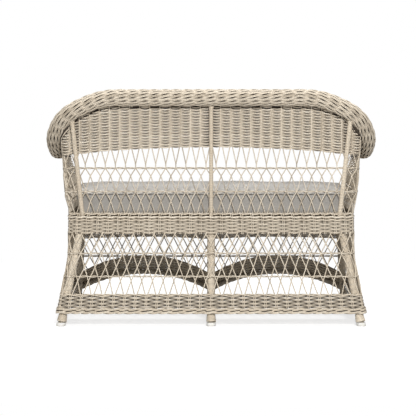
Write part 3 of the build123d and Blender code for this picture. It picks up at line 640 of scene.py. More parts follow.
class StrandTree:
    """Geometry Nodes tree that turns guides into round strands."""

    sizes = {"Spacing": "spacing", "Radius": "radius", "Depth": "depth", "Twist": "twist", "Dip": "dip"}

    def __init__(self) -> None:
        """Builds the tree."""
        self.tree = bpy.data.node_groups.new("woven strand", "GeometryNodeTree")
        kit = NodeKit(self.tree)
        self.keys: dict[str, str] = {}
        interface = self.tree.interface
        interface.new_socket("Geometry", in_out="OUTPUT", socket_type="NodeSocketGeometry")
        interface.new_socket("Geometry", in_out="INPUT", socket_type="NodeSocketGeometry")
        for name in self.sizes:
            self.keys[name] = interface.new_socket(name, in_out="INPUT", socket_type="NodeSocketFloat").identifier
        self.keys["Sides"] = interface.new_socket("Sides", in_out="INPUT", socket_type="NodeSocketInt").identifier
        self.keys["Material"] = interface.new_socket(
            "Material", in_out="INPUT", socket_type="NodeSocketMaterial").identifier
        given = kit.add("NodeGroupInput")
        line = kit.add("GeometryNodeMeshToCurve", {}, {"Mesh": given["Geometry"]})["Curve"]
        line = kit.add("GeometryNodeResampleCurve", {"mode": "LENGTH"}, {"Curve": line, "Length": given["Spacing"]})[0]
        turn = self.named(kit, "along", "FLOAT") * math.pi + self.named(kit, "phase", "FLOAT")
        wave = turn.shaped("COSINE")
        # lift is the strand's wave less its painted shade, which the strand finish turns into darker colour
        line = kit.add("GeometryNodeStoreNamedAttribute", {"data_type": "FLOAT", "domain": "POINT"}, {
            "Geometry": line, "Name": "lift", "Value": wave - self.named(kit, "deep", "FLOAT")})[0]
        sideways = given["Twist"] * turn.shaped("SINE") + given["Dip"] * (turn * 2.0).shaped("COSINE")
        offset = (self.named(kit, "outward", "FLOAT_VECTOR") * (given["Depth"] * wave)
                  + self.named(kit, "across", "FLOAT_VECTOR") * sideways)
        line = kit.add("GeometryNodeSetPosition", {}, {"Geometry": line, "Offset": offset})[0]
        ring = kit.add("GeometryNodeCurvePrimitiveCircle", {}, {"Resolution": given["Sides"],
                                                               "Radius": given["Radius"]})[0]
        shape = kit.add("GeometryNodeCurveToMesh", {}, {"Curve": line, "Profile Curve": ring, "Fill Caps": True})[0]
        shape = kit.add("GeometryNodeSetShadeSmooth", {}, {"Geometry": shape})[0]
        shape = kit.add("GeometryNodeRealizeInstances", {}, {"Geometry": shape})[0]
        shape = kit.add("GeometryNodeSetMaterial", {}, {"Geometry": shape, "Material": given["Material"]})[0]
        kit.add("NodeGroupOutput", {}, {"Geometry": shape})

    @staticmethod
    def named(kit: NodeKit, name: str, kind: str) -> Signal:
        """Value that the guides carry."""
        return kit.add("GeometryNodeInputNamedAttribute", {"data_type": kind}, {"Name": name})["Attribute"]

    def weave(self, name: str, guides: Guides, weave: Weave, material: bpy.types.Material) -> bpy.types.Object:
        """Object of the strands along some guides.

        Args:
            name: Name of the object.
            guides: Lines to follow.
            weave: Sizes of the strands.
            material: Their material.

        Returns:
            A mesh object with no modifier.
        """
        source = linked(name + "_guides", guides.mesh(name + "_guides"))
        modifier = source.modifiers.new("strand", "NODES")
        modifier.node_group = self.tree
        for socket, size in self.sizes.items():
            modifier[self.keys[socket]] = float(getattr(weave, size))
        modifier[self.keys["Sides"]] = weave.sides
        modifier[self.keys["Material"]] = material
        graph = bpy.context.evaluated_depsgraph_get()
        mesh = bpy.data.meshes.new_from_object(
            source.evaluated_get(graph), preserve_all_data_layers=True, depsgraph=graph)
        mesh.name = name
        for layer in ("along", "phase", "deep"):
            if layer in mesh.attributes:
                mesh.attributes.remove(mesh.attributes[layer])
        source.modifiers.clear()
        bpy.data.objects.remove(source)
        return linked(name, mesh)


class Workshop:
    """What every sub-assembly needs: the strand tree, the finishes, and a record of the pieces."""

    def __init__(self) -> None:
        """Builds the tree and starts the palette."""
        self.strands = StrandTree()
        self.palette = Palette()
        self.triangles = 0

    def piece(self, name: str, parts: Sequence[bpy.types.Object], slot: str, replaces: Sequence[str] = (),
              body: str = FRAME_BODY) -> bpy.types.Object:
        """Joins parts into one piece that rides on a body.

        Args:
            name: The piece's name.
            parts: Mesh objects to join.
            slot: Material slot; not used.
            replaces: Nodes that the piece stands for.
            body: Body that it rides on.

        Returns:
            The piece.
        """
        first = parts[0]
        if len(parts) > 1:
            with bpy.context.temp_override(active_object=first, object=first, selected_objects=list(parts),
                                           selected_editable_objects=list(parts)):
                bpy.ops.object.join()
        first.name = name
        first.data.name = name
        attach(first, body)
        if replaces:
            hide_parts(*replaces)
        count = sum(len(polygon.vertices) - 2 for polygon in first.data.polygons)
        self.triangles += count
        log.info("%s: %d triangles", name, count)
        return first


# Lines and plans

def rounded_path(corners: Points, shares: Sequence[float], step: float = 0.006) -> list[Vector]:
    """Points along straight runs joined by tangent arcs.

    Args:
        corners: First point, inner corners and last point.
        shares: Tangent length at each inner corner, as a share of its shorter run.
        step: Distance between points on the arcs.

    Returns:
        The points, in order.
    """
    path = [corners[0]]
    for before, corner, after, share in zip(corners, corners[1:], corners[2:], shares):
        inward, outward = corner - before, after - corner
        reach = share * min(inward.length, outward.length)
        inward, outward = inward.normalized(), outward.normalized()
        turn = inward.angle(outward)
        radius = reach / math.tan(turn / 2)
        start = corner - inward * reach
        side = (outward - inward * inward.dot(outward)).normalized()
        centre = start + side * radius
        count = max(3, round(radius * turn / step))
        for index in range(count + 1):
            angle = turn * index / count
            path.append(centre - side * (radius * math.cos(angle)) + inward * (radius * math.sin(angle)))
    path.append(corners[-1])
    return path


def refined(path: Points, step: float = 0.012) -> list[Vector]:
    """The same path with points no further apart than a step."""
    fine = [path[0]]
    for before, after in zip(path, path[1:]):
        count = max(1, math.ceil((after - before).length / step))
        fine += [before.lerp(after, (index + 1) / count) for index in range(count)]
    return fine


@dataclass(frozen=True)
class Member:
    """A straight leg or post, from its foot to its head."""

    foot: Vector
    head: Vector

    def at(self, height: float) -> Vector:
        """Point at a height."""
        return self.foot.lerp(self.head, (height - self.foot.z) / (self.head.z - self.foot.z))


@dataclass(frozen=True)
class Skeleton:
    """Centre lines of the frame that the skin follows, on the sitter's left."""

    back_leg: Member = Member(Vector((0.565, 0.345, 0.0)), Vector((0.483, 0.297, 0.400)))
    back_post: Member = Member(Vector((0.483, 0.297, 0.400)), Vector((0.5233, 0.3368, 0.8029)))
    front_leg: Member = Member(Vector((0.540, -0.350, 0.0)), Vector((0.515, -0.318, 0.400)))
    arm_post: Member = Member(Vector((0.515, -0.318, 0.400)), Vector((0.590, -0.335, 0.622)))
    centre_leg: Member = Member(Vector((0.0, 0.345, 0.0)), Vector((0.0, 0.297, 0.400)))
    centre_front_leg: Member = Member(Vector((0.0, -0.350, 0.0)), Vector((0.0, -0.318, 0.400)))
    centre_post: Member = Member(Vector((0.0, 0.297, 0.389)), Vector((0.0, 0.345, 0.858)))


SKELETON = Skeleton()


@dataclass(frozen=True)
class Plan:
    """Plan of a skin at one height, with a stake count up to each of its bends."""

    back_y: float
    corner_x: float
    corner_radius: float
    front_x: float
    front_y: float
    front_radius: float
    flat_stakes: float
    corner_stakes: float
    side_stakes: float = 30.0
    front_stakes: float = 31.0
    middle_stakes: float = 44.5

    def place(self, stake: float) -> tuple[float, float, float, float]:
        """Place and outward direction in plan at a stake number.

        Args:
            stake: Stake number, negative on the sitter's right.

        Returns:
            x, y, and the x and y of the outward direction.
        """
        side = -1.0 if stake < 0 else 1.0
        count = abs(stake)
        flat_x = self.corner_x - self.corner_radius
        side_y = self.back_y - self.corner_radius
        if count <= self.flat_stakes:
            return side * flat_x * count / self.flat_stakes, self.back_y, 0.0, 1.0
        if count <= self.corner_stakes:
            turn = math.pi / 2 * (1 - (count - self.flat_stakes) / (self.corner_stakes - self.flat_stakes))
            x = flat_x + self.corner_radius * math.cos(turn)
            return side * x, side_y + self.corner_radius * math.sin(turn), side * math.cos(turn), math.sin(turn)
        end_y = self.front_y + self.front_radius
        if count <= self.side_stakes:
            share = (count - self.corner_stakes) / (self.side_stakes - self.corner_stakes)
            x = self.corner_x + share * (self.front_x - self.corner_x)
            return side * x, side_y + share * (end_y - side_y), side, 0.0
        if count <= self.front_stakes:
            turn = -math.pi / 2 * (count - self.side_stakes) / (self.front_stakes - self.side_stakes)
            x = self.front_x - self.front_radius + self.front_radius * math.cos(turn)
            return side * x, end_y + self.front_radius * math.sin(turn), side * math.cos(turn), math.sin(turn)
        share = (self.middle_stakes - count) / (self.middle_stakes - self.front_stakes)
        return side * (self.front_x - self.front_radius) * share, self.front_y, 0.0, -1.0


def skin_point(plan: Plan, stake: float, height: float) -> tuple[Vector, Vector]:
    """Point of a skin and its outward direction."""
    x, y, out_x, out_y = plan.place(stake)
    return Vector((x, y, height)), Vector((out_x, out_y, 0.0))


# Rolled rim

@dataclass
class RolledRim:
    """The thick woven roll along the back and down both arms."""

    shop: Workshop
    reach: float = 0.0276
    rows: int = 14
    strand_spread: float = 0.0038
    wave: float = 0.04125
    # radius of the dark core that stands for the shade inside the roll
    shade_fill_radius: float = 0.0250
    half_length: float = 0.330
    corners: tuple[Vector, ...] = (
        Vector((0.330, ROLL_Y, ROLL_Z)), Vector((0.40769, ROLL_Y, ROLL_Z)), Vector((0.54988, 0.339825, 0.794516)),
        Vector((0.594484, 0.26151, 0.70696)), Vector((0.58705, 0.15663, 0.650084)), Vector((0.590, -0.3715, 0.622)))
    shares: tuple[float, ...] = (0.78, 0.51, 0.46, 0.48)
    weave: Weave = Weave(0.0020, depth=0.0024, twist=-0.0034, spacing=0.0064)
    row_stray: float = 0.55
    crossing_stray: float = 0.13
    scroll_radius: float = 0.0292
    scroll_shrink: float = 0.0277
    scroll_dome: float = 0.0045
    scroll_recess: float = 0.0015
    scroll_turns: float = 6.5
    scroll_points: int = 150

    def __post_init__(self) -> None:
        """Works out the arm's path and a steady pair of directions along it."""
        self.path = refined(rounded_path(self.corners, self.shares))
        self.lengths = [self.half_length]
        for before, after in zip(self.path, self.path[1:]):
            self.lengths.append(self.lengths[-1] + (after - before).length)
        self.normals: list[Vector] = []
        normal = Vector((0.0, 1.0, 0.0))
        for tangent in self.tangents(self.path):
            normal = (normal - tangent * normal.dot(tangent)).normalized()
            self.normals.append(normal)
        level = [self.on_axis(x) for x in np.linspace(0.0, self.half_length, 40)]
        self.samples = np.array(level + self.path)

    @staticmethod
    def on_axis(x: float) -> Vector:
        """Point of the back length's centre line."""
        return Vector((x, ROLL_Y, ROLL_Z))

    @staticmethod
    def tangents(path: Points) -> list[Vector]:
        """Direction of a path at each of its points."""
        last = len(path) - 1
        return [(path[min(i + 1, last)] - path[max(i - 1, 0)]).normalized() for i in range(last + 1)]

    def clears(self, place: Vector, margin: float) -> bool:
        """Whether a point lies below the roll and further from its centre line than a margin."""
        near = np.linalg.norm(self.samples - np.array((abs(place.x), place.y, place.z)), axis=1)
        nearest = int(near.argmin())
        return near[nearest] > margin and place.z < self.samples[nearest][2]

    def ring_guides(self, path: Points, normals: Points, lengths: Sequence[float]) -> Guides:
        """Twined rows round one length of the roll, each of two bundles of two strands.

        Args:
            path: Points of the length's centre line.
            normals: A direction across it at each point.
            lengths: Distance along the roll at each point.

        Returns:
            The rows' guides.
        """
        guides = Guides(STRAND_SEED + 3)
        shifts = np.random.default_rng(STRAND_SEED).uniform(-self.row_stray, self.row_stray, self.rows)
        tangents = self.tangents(path)
        for row, shift in enumerate(shifts):
            stray = self.crossing_stray * math.sin(2.1 * row)
            along = [s / self.wave + stray * math.cos(19 * s) for s in lengths]
            for bundle, side in BUNDLES:
                angle = 2 * math.pi * (row + 0.5) / self.rows + side * self.strand_spread / self.reach
                places, outward, across = [], [], []
                for point, tangent, normal in zip(path, tangents, normals):
                    other = tangent.cross(normal)
                    radial = normal * math.cos(angle) + other * math.sin(angle)
                    places.append(point + radial * self.reach)
                    outward.append(radial)
                    across.append(tangent.cross(radial))
                guides.add(places, outward, across, along, bundle + shift)
        return guides

    def scroll(self) -> Guides:
        """Spiral that closes the roll's front end."""
        guides = Guides(STRAND_SEED + 5)
        end = self.path[-1]
        points = []
        for index in range(self.scroll_points + 1):
            share = index / self.scroll_points
            radius = self.scroll_radius - self.scroll_shrink * share
            angle = 2 * math.pi * self.scroll_turns * share
            dome = self.scroll_dome * (1 - (radius / self.scroll_radius) ** 2)
            points.append(Vector((end.x + radius * math.cos(angle), end.y + self.scroll_recess - dome,
                                  end.z + radius * math.sin(angle))))
        guides.add_plain(points)
        return guides

    def shade_fill(self, name: str, path: Points) -> bpy.types.Object:
        """Core inside one length of the roll, coloured dark as painted shade."""
        guides = Guides()
        guides.add_plain(list(path))
        return self.shop.strands.weave(name, guides, Weave(self.shade_fill_radius, spacing=0.012, sides=18),
                                       self.shop.palette[Finish.LINING])

    def build(self) -> None:
        """Makes the roll's three lengths."""
        strand = self.shop.palette[Finish.STRAND]
        weave = self.shop.strands.weave
        back = refined([self.on_axis(-self.half_length), self.on_axis(self.half_length)])
        rows = self.ring_guides(back, [Vector((0.0, 1.0, 0.0))] * len(back), [point.x for point in back])
        self.shop.piece("rim_weave_back", [weave("rim_rows_back", rows, self.weave, strand),
                                           self.shade_fill("rim_lining_back", back)], "woven_strand", ["back_roll"])
        left = self.ring_guides(self.path, self.normals, self.lengths)
        scroll = self.scroll()
        for side, guides, end, path in (("left", left, scroll, self.path),
                                        ("right", left.mirror(), scroll.mirror(), mirrored(self.path))):
            parts = [weave(f"rim_rows_{side}", guides, self.weave, strand),
                     weave(f"rim_scroll_{side}", end, Weave(0.0023, spacing=0.004), strand),
                     self.shade_fill(f"rim_lining_{side}", path)]
            self.shop.piece(f"rim_weave_{side}", parts, "woven_strand", [f"arm_roll_{side}"])


# Upper skin

@dataclass
class UpperSkin:
    """Dense weave under the rim and the open lattice below it, on the back and on both sides."""

    shop: Workshop
    rim: RolledRim
    offset: float = 0.0128
    arm_offset: float = 0.014
    end_margin: float = 0.011
    corner_radius: float = 0.024
    low: float = 0.424
    row_pitch: float = 0.0051
    edge_stakes: tuple[float, ...] = (0.0, 3.5, 7.0, 10.5, 12.8, 15.4, 19.9)
    edge_heights: tuple[float, ...] = (0.671, 0.6695, 0.6645, 0.6565, 0.646, 0.640, 0.535)
    end_stake: float = 29.85
    corner_stake: float = 14.75
    post_stakes: tuple[float, ...] = (0.0, 13.4)
    line: tuple[tuple[float, float], ...] = ((0.0, 1.86), (0.175, 1.5), (0.32, 1.0), (0.56, 0.5), (0.68, 0.0),
                                             (0.74, 0.0), (1.0, -0.36))
    weaver_shares: tuple[float, ...] = (0.32, 0.68)
    dense_count: int = 44
    row_margin: float = 0.0395
    head_margin: float = 0.0392
    rim_gap_margin: float = 0.0340
    head_gap_margin: float = 0.0430
    stake_margin: float = 0.0240
    search_height: float = 0.32
    # shade painted on the rows under the roll and beside the posts
    rim_shade: float = 0.7
    post_shade: float = 1.5
    post_shade_width: float = 0.3
    fall: float = 5.0

    def plan(self, height: float) -> Plan:
        """Plan at a height."""
        back_y = SKELETON.back_post.at(height).y - self.offset
        corner_x = float(np.interp(height, (0.424, 0.495, 0.700), (0.536, 0.551, 0.560)))
        front = SKELETON.arm_post.at(min(height, 0.622))
        flat = (corner_x - self.corner_radius) / STAKE_PITCH
        return Plan(back_y, corner_x, self.corner_radius, front.x - self.arm_offset, front.y - self.end_margin, 0.0,
                    flat, flat + 1.0)

    def dense_edge(self, stake: float) -> float:
        """Height of the dense weave's lower edge."""
        return float(np.interp(abs(stake), self.edge_stakes, self.edge_heights))

    def point(self, stake: float, height: float) -> tuple[Vector, Vector]:
        """Point of the skin and its outward direction."""
        return skin_point(self.plan(height), stake, height)

    def spot(self, stake: float, height: float) -> Spot:
        """Point of the skin, its outward direction and its stake number."""
        return *self.point(stake, height), stake

    @staticmethod
    def quarters(first: float, last: float) -> np.ndarray:
        """Stake numbers about a quarter apart."""
        return np.linspace(first, last, round((last - first) / 0.25) + 1)

    def level(self, stake: float) -> float:
        """Height that the lattice's shares count up to: level along the back, then falling with the arms."""
        lift = self.dense_edge(0.0) - self.dense_edge(min(abs(stake), self.corner_stake))
        left = (self.corner_stake + self.fall - abs(stake)) / self.fall
        return self.dense_edge(stake) + lift * min(1.0, max(0.0, left))

    def shade_amount(self, stake: float) -> float:
        """How much shade is painted in the corner beside a post at a stake number."""
        return self.post_shade * sum(math.exp(-((abs(stake) - post) / self.post_shade_width) ** 2)
                                    for post in self.post_stakes)

    def dense_rows(self, first: float, last: float) -> Guides:
        """Rows of the dense weave between two stakes, each up to just below the roll.

        Args:
            first: Stake number of one end.
            last: Stake number of the other.

        Returns:
            The rows' guides.
        """
        guides = Guides(STRAND_SEED + 7 + round(last))
        for row in range(self.dense_count):
            spots = (self.spot(stake, self.dense_edge(stake) + (row + 0.5) * self.row_pitch)
                     for stake in self.quarters(first, last))
            for run in unbroken((spot if self.rim.clears(spot[0], self.row_margin) else None for spot in spots), 3):
                # painted shade beside the posts
                guides.add_run(run, math.pi * row, 0.5, deep=[self.shade_amount(stake) for _, _, stake in run])
        return guides

    def rim_spot(self, stake: float, margin: float) -> Union[Spot, None]:
        """Highest spot of the skin that still clears the roll.

        Args:
            stake: Stake number.
            margin: Distance from the roll's centre line.

        Returns:
            The spot, or None where the roll is out of reach.
        """
        low = self.dense_edge(stake)
        high = low + self.search_height
        for _ in range(16):
            middle = (low + high) / 2
            if self.rim.clears(self.point(stake, middle)[0], margin):
                low = middle
            else:
                high = middle
        spot = self.spot(stake, low)
        return None if self.rim.clears(spot[0], margin + 0.003) else spot

    def under_rim(self, first: float, last: float, margin: float) -> Guides:
        """Strand along the skin at a distance below the roll's centre line.

        Args:
            first: Stake number of one end.
            last: Stake number of the other.
            margin: Distance from the roll's centre line.

        Returns:
            The strand's guides.
        """
        guides = Guides(STRAND_SEED + 8)
        for run in unbroken((self.rim_spot(stake, margin) for stake in self.quarters(first, last)), 3):
            # painted shade under the roll
            guides.add_run(run, shift=0.5, deep=[self.rim_shade] * len(run))
        return guides

    def stakes(self) -> Guides:
        """Paired strands that cross in the lattice and run on up behind the dense weave."""
        guides = Guides(STRAND_SEED + 9)
        for index in range(-30, 30):
            stake = index + 0.5
            edge = self.dense_edge(stake)
            level = self.level(stake)
            line = [(offset, self.low + share * ((level if share < 0.9 else edge) - self.low))
                    for share, offset in self.line]
            line = [(line[0][0] + 0.05, self.low - 0.004), *line, (-0.43, edge + 0.018), (-0.44, edge + 0.24)]
            for lean in (-1, 1):
                guides.add_stretches(self.stake_places(stake, line, lean))
        return guides

    def stake_places(self, stake: float, line: Sequence[tuple[float, float]],
                     lean: int) -> Iterator[Union[Vector, None]]:
        """Places of one strand of a pair, up to the roll.

        Args:
            stake: Stake number of the pair.
            line: Offset from the stake at each height.
            lean: Which of the pair it is, -1 or 1.

        Yields:
            Each place, or None past the skin's end.
        """
        for (offset, height), (next_offset, next_height) in zip(line, line[1:]):
            steps = max(2, round((next_height - height) / LATTICE_STEP))
            for step in range(steps):
                share = step / steps
                at = stake + lean * (offset + share * (next_offset - offset))
                level = height + share * (next_height - height)
                place, outward = self.point(at, level)
                if abs(at) > self.end_stake + 0.05:
                    yield None
                    continue
                if level > 0.5 and not self.rim.clears(place, self.stake_margin):
                    return
                yield place + outward * (PLY_GAP * lean)

    def weavers(self) -> Guides:
        """Twined pairs that hold the crossings."""
        guides = Guides(STRAND_SEED + 13)
        stakes = np.arange(-self.end_stake, self.end_stake + 0.01, 0.25)
        for share in self.weaver_shares:
            spots = [self.spot(s, self.low + share * (self.level(s) - self.low)) for s in stakes]
            for phase in (0.0, math.pi):
                guides.add_run(spots, phase, 0.5)
        return guides

    def build(self) -> None:
        """Makes the dense weave and the lattice."""
        strand = self.shop.palette[Finish.STRAND]
        weave = self.shop.strands.weave
        shade_fill = self.shop.palette[Finish.LINING]
        for side, first, last in (("back", -self.corner_stake, self.corner_stake),
                                  ("left", self.corner_stake, self.end_stake),
                                  ("right", -self.end_stake, -self.corner_stake)):
            # the rim and head gap strands are dark fill: painted shadow where the roll shades the weave below it
            parts = [weave(f"dense_rows_{side}", self.dense_rows(first, last),
                           Weave(0.0026, depth=0.0027, dip=-0.0013, spacing=0.0056), strand),
                     weave(f"dense_head_{side}", self.under_rim(first, last, self.head_margin),
                           Weave(0.0024, depth=0.0022), strand),
                     weave(f"rim_gap_{side}", self.under_rim(first, last, self.rim_gap_margin),
                           Weave(0.0050, spacing=0.009), shade_fill),
                     weave(f"head_gap_{side}", self.under_rim(first, last, self.head_gap_margin),
                           Weave(0.0038, spacing=0.009), shade_fill)]
            self.shop.piece(f"upper_dense_weave_{side}", parts, "woven_strand", [f"upper_weave_{side}"])
        parts = [weave("lattice_stakes", self.stakes(), CROSSING, strand),
                 weave("lattice_weavers", self.weavers(), TWINED, strand)]
        self.shop.piece("upper_open_lattice", parts, "woven_strand",
                        ["upper_lattice_back", "upper_lattice_left", "upper_lattice_right"])


# Lower skin

@dataclass
class LowerSkin:
    """Seat band, open lattice, bottom band and plaited border, round the back and both sides."""

    shop: Workshop
    upper: UpperSkin
    offset: float = 0.0196
    end_stake: float = 31.3
    band_low: float = 0.347
    band_top: float = 0.408
    lip_top: float = 0.424
    band_row: float = 0.0063
    hem_row: float = 0.0068
    hem_low: float = 0.069
    line: tuple[tuple[float, float], ...] = ((0.116, 1.41), (0.122, 1.36), (0.170, 1.0), (0.273, 0.0),
                                             (0.347, -1.03), (0.353, -1.1))
    weaver_heights: tuple[float, ...] = (0.187, 0.273)
    band_count: int = 7
    # shade painted on the seat band and the bottom band
    band_shade: float = 0.25
    hem_shade: float = 0.75
    pair_half: float = 0.075
    pair_flare: float = 0.065
    open_row: float = 0.3968
    top_end: float = 30.0
    top_standoff: float = 0.0012
    lip_share: float = 0.66
    lip_end: float = 29.85
    lip_stakes: int = 29
    lattice_stakes: int = 33
    hem_top: float = 0.119
    hem_rim: float = 0.1185
    hem_standoff: float = 0.001
    border_heights: tuple[float, ...] = (0.0637, 0.0527)
    border_middle: float = 0.0582
    border_standoff: float = 0.0020
    border_spread: float = 0.0038
    border_stray: float = 0.14

    def plan(self, height: float, extra: float = 0.0) -> Plan:
        """Plan at a height, moved outwards by an extra."""
        radius = 0.041 - 0.016 * min((0.388 - height) / 0.128, 1.0) + extra
        corner_x = 0.537 + 0.039 * max(0.260 - height, 0.0) / 0.191 + extra
        out = self.offset + extra
        front = SKELETON.front_leg.at(height)
        flat = float(np.interp(height, (0.048, 0.400), (13.5, 12.75)))
        return Plan(SKELETON.back_leg.at(height).y + out, corner_x, radius, front.x + out, front.y - out,
                    0.019 + extra, flat, 14.5)

    def point(self, stake: float, height: float, extra: float = 0.0) -> tuple[Vector, Vector]:
        """Point of the skin and its outward direction."""
        return skin_point(self.plan(height, extra), stake, height)

    def lip_point(self, stake: float, share: float) -> tuple[Vector, Vector]:
        """Point of the lip that leads from the seat band to the upper skin."""
        low, outward = self.point(stake, self.band_top)
        high, _ = self.upper.point(stake, self.lip_top)
        return low.lerp(high, share), outward

    def run(self, where: Callable[[float], tuple[Vector, Vector]], end: float) -> list[Spot]:
        """Spots between the two front ends, from a rule for the point and outward direction at a stake."""
        return [(*where(stake), stake) for stake in np.linspace(-end, end, round(8 * end) + 1)]

    def bundles(self, guides: Guides, low: float, pitch: float, painted_shade: float) -> None:
        """Adds the rows of a band, each of two strands, one above the other.

        Args:
            guides: Where they go.
            low: Height of the band's lower edge.
            pitch: Height of one row.
            painted_shade: How dark the band's surroundings are.
        """
        for row in range(self.band_count):
            run = self.run(lambda s: self.point(s, low + (row + 0.5) * pitch), self.end_stake)
            for side in (-0.5, 0.5):
                # painted shade on the band's rows
                guides.add_run(run, math.pi * row, rise=side * (pitch / 2), deep=[painted_shade] * len(run))

    def twined(self, guides: Guides, where: Callable[[float], tuple[Vector, Vector]], end: float,
               shift: float = 0.0) -> None:
        """Adds a twined pair that crosses between stakes, which stand a shift away from whole numbers."""
        run = self.run(where, end)
        for phase in (0.0, math.pi):
            guides.add_run(run, phase, shift)

    def upright_pairs(self, guides: Guides, low: float, high: float) -> None:
        """Adds the upright pairs that rows of a band pass over and under."""
        last = math.floor(self.end_stake)
        for stake in range(-last, last + 1):
            for lean in (-1, 1):
                guides.add_plain([self.point(stake + self.pair_half * lean, z)[0] for z in np.linspace(low, high, 4)])

    def seat_band(self) -> list[bpy.types.Object]:
        """Rows of the seat band, its open twined rows and the lip above."""
        strand = self.shop.palette[Finish.STRAND]
        weave = self.shop.strands.weave
        rows, uprights, rim = Guides(STRAND_SEED + 17), Guides(STRAND_SEED + 19), Guides(STRAND_SEED + 23)
        self.bundles(rows, self.band_low, self.band_row, self.band_shade)
        self.upright_pairs(uprights, self.band_low - 0.002, self.band_top)
        for stake in range(-self.lip_stakes, self.lip_stakes + 1):
            for lean in (-1, 1):
                uprights.add_plain([self.lip_point(stake + (self.pair_half + self.pair_flare * t) * lean, t)[0]
                                    for t in (0.0, 0.25, 0.5, 0.75, 1.0)])
        self.twined(rim, lambda s: self.point(s, self.open_row), self.end_stake)
        self.twined(rim, lambda s: self.point(s, self.band_top, self.top_standoff), self.top_end)
        self.twined(rim, lambda s: self.lip_point(s, self.lip_share), self.lip_end)
        return [weave("band_rows", rows, Weave(0.0017, depth=0.0027, dip=-0.0006), strand),
                weave("band_uprights", uprights, Weave(0.0019, spacing=0.012), strand),
                weave("band_rim", rim, Weave(0.0026, depth=0.0024, twist=0.0022), strand)]

    def strand_places(self, stake: float, lean: int) -> Iterator[Union[Vector, None]]:
        """Places of one crossing strand of the skirt.

        Args:
            stake: Stake number that it crosses its twin at.
            lean: Which way it leans, -1 or 1.

        Yields:
            Each place, or None past the skin's end.
        """
        for (low, low_offset), (high, high_offset) in zip(self.line, self.line[1:]):
            steps = max(1, round((high - low) / LATTICE_STEP))
            for step in range(steps + 1):
                share = step / steps
                at = stake + lean * (low_offset + share * (high_offset - low_offset))
                if abs(at) > self.end_stake:
                    yield None
                    continue
                place, outward = self.point(at, low + share * (high - low))
                yield place + outward * (PLY_GAP * lean)

    def lattice(self) -> list[bpy.types.Object]:
        """Crossing strands of the skirt and the twined pairs that hold them."""
        strand = self.shop.palette[Finish.STRAND]
        weave = self.shop.strands.weave
        crossed, pairs = Guides(STRAND_SEED + 31), Guides(STRAND_SEED + 37)
        for index in range(-self.lattice_stakes, self.lattice_stakes):
            for lean in (-1, 1):
                crossed.add_stretches(self.strand_places(index + 0.5, lean))
        for height in self.weaver_heights:
            self.twined(pairs, lambda s, z=height: self.point(s, z), self.end_stake, 0.5)
        return [weave("skirt_strands", crossed, CROSSING, strand), weave("skirt_weavers", pairs, TWINED, strand)]

    def bottom_band(self) -> list[bpy.types.Object]:
        """Rows under a twined rim row."""
        strand = self.shop.palette[Finish.STRAND]
        weave = self.shop.strands.weave
        rows, uprights, rim = Guides(STRAND_SEED + 41), Guides(STRAND_SEED + 43), Guides(STRAND_SEED + 47)
        self.bundles(rows, self.hem_low, self.hem_row, self.hem_shade)
        self.upright_pairs(uprights, self.hem_low, self.hem_top)
        self.twined(rim, lambda s: self.point(s, self.hem_rim, self.hem_standoff), self.end_stake)
        return [weave("hem_rows", rows, Weave(0.0018, depth=0.0029, dip=-0.0006), strand),
                weave("hem_uprights", uprights, Weave(0.0020, spacing=0.012), strand),
                weave("hem_rim", rim, Weave(0.0023, depth=0.0024, twist=0.0022), strand)]

    def border(self) -> list[bpy.types.Object]:
        """Two twined rows along the foot of the skirt, each of two bundles of two strands."""
        rope, core = Guides(STRAND_SEED + 53), Guides(STRAND_SEED + 54)
        for height in self.border_heights:
            level = self.run(lambda s, z=height: self.point(s, z, self.border_standoff), self.end_stake)
            run = [(place, outward, stake + self.border_stray * math.sin(1.7 * stake + 90 * height))
                   for place, outward, stake in level]
            for bundle, side in BUNDLES:
                rope.add_run(run, bundle, rise=self.border_spread * side)
        # dark core between the two rows: painted shade in the gap behind them
        core.add_plain([place for place, _, _ in self.run(lambda s: self.point(s, self.border_middle),
                                                          self.end_stake)])
        return [self.shop.strands.weave("border_rope", rope, Weave(0.0022, depth=0.0034, twist=-0.0022),
                                        self.shop.palette[Finish.STRAND]),
                self.shop.strands.weave("border_core", core, Weave(0.0042, spacing=0.012),
                                        self.shop.palette[Finish.LINING])]

    def build(self) -> None:
        """Makes the skirt's pieces."""
        def sides(stem: str) -> list[str]:
            """Names of a skirt node's three lengths."""
            return [f"{stem}_{side}" for side in ("back", "left", "right")]

        self.shop.piece("seat_band_weave", self.seat_band(), "woven_strand", sides("seat_band"))
        self.shop.piece("skirt_lattice", self.lattice(), "woven_strand", sides("lower_lattice"))
        self.shop.piece("bottom_band_weave", self.bottom_band(), "woven_strand", sides("bottom_band"))
        self.shop.piece("border_braid", self.border(), "woven_strand", sides("border"))


# Front

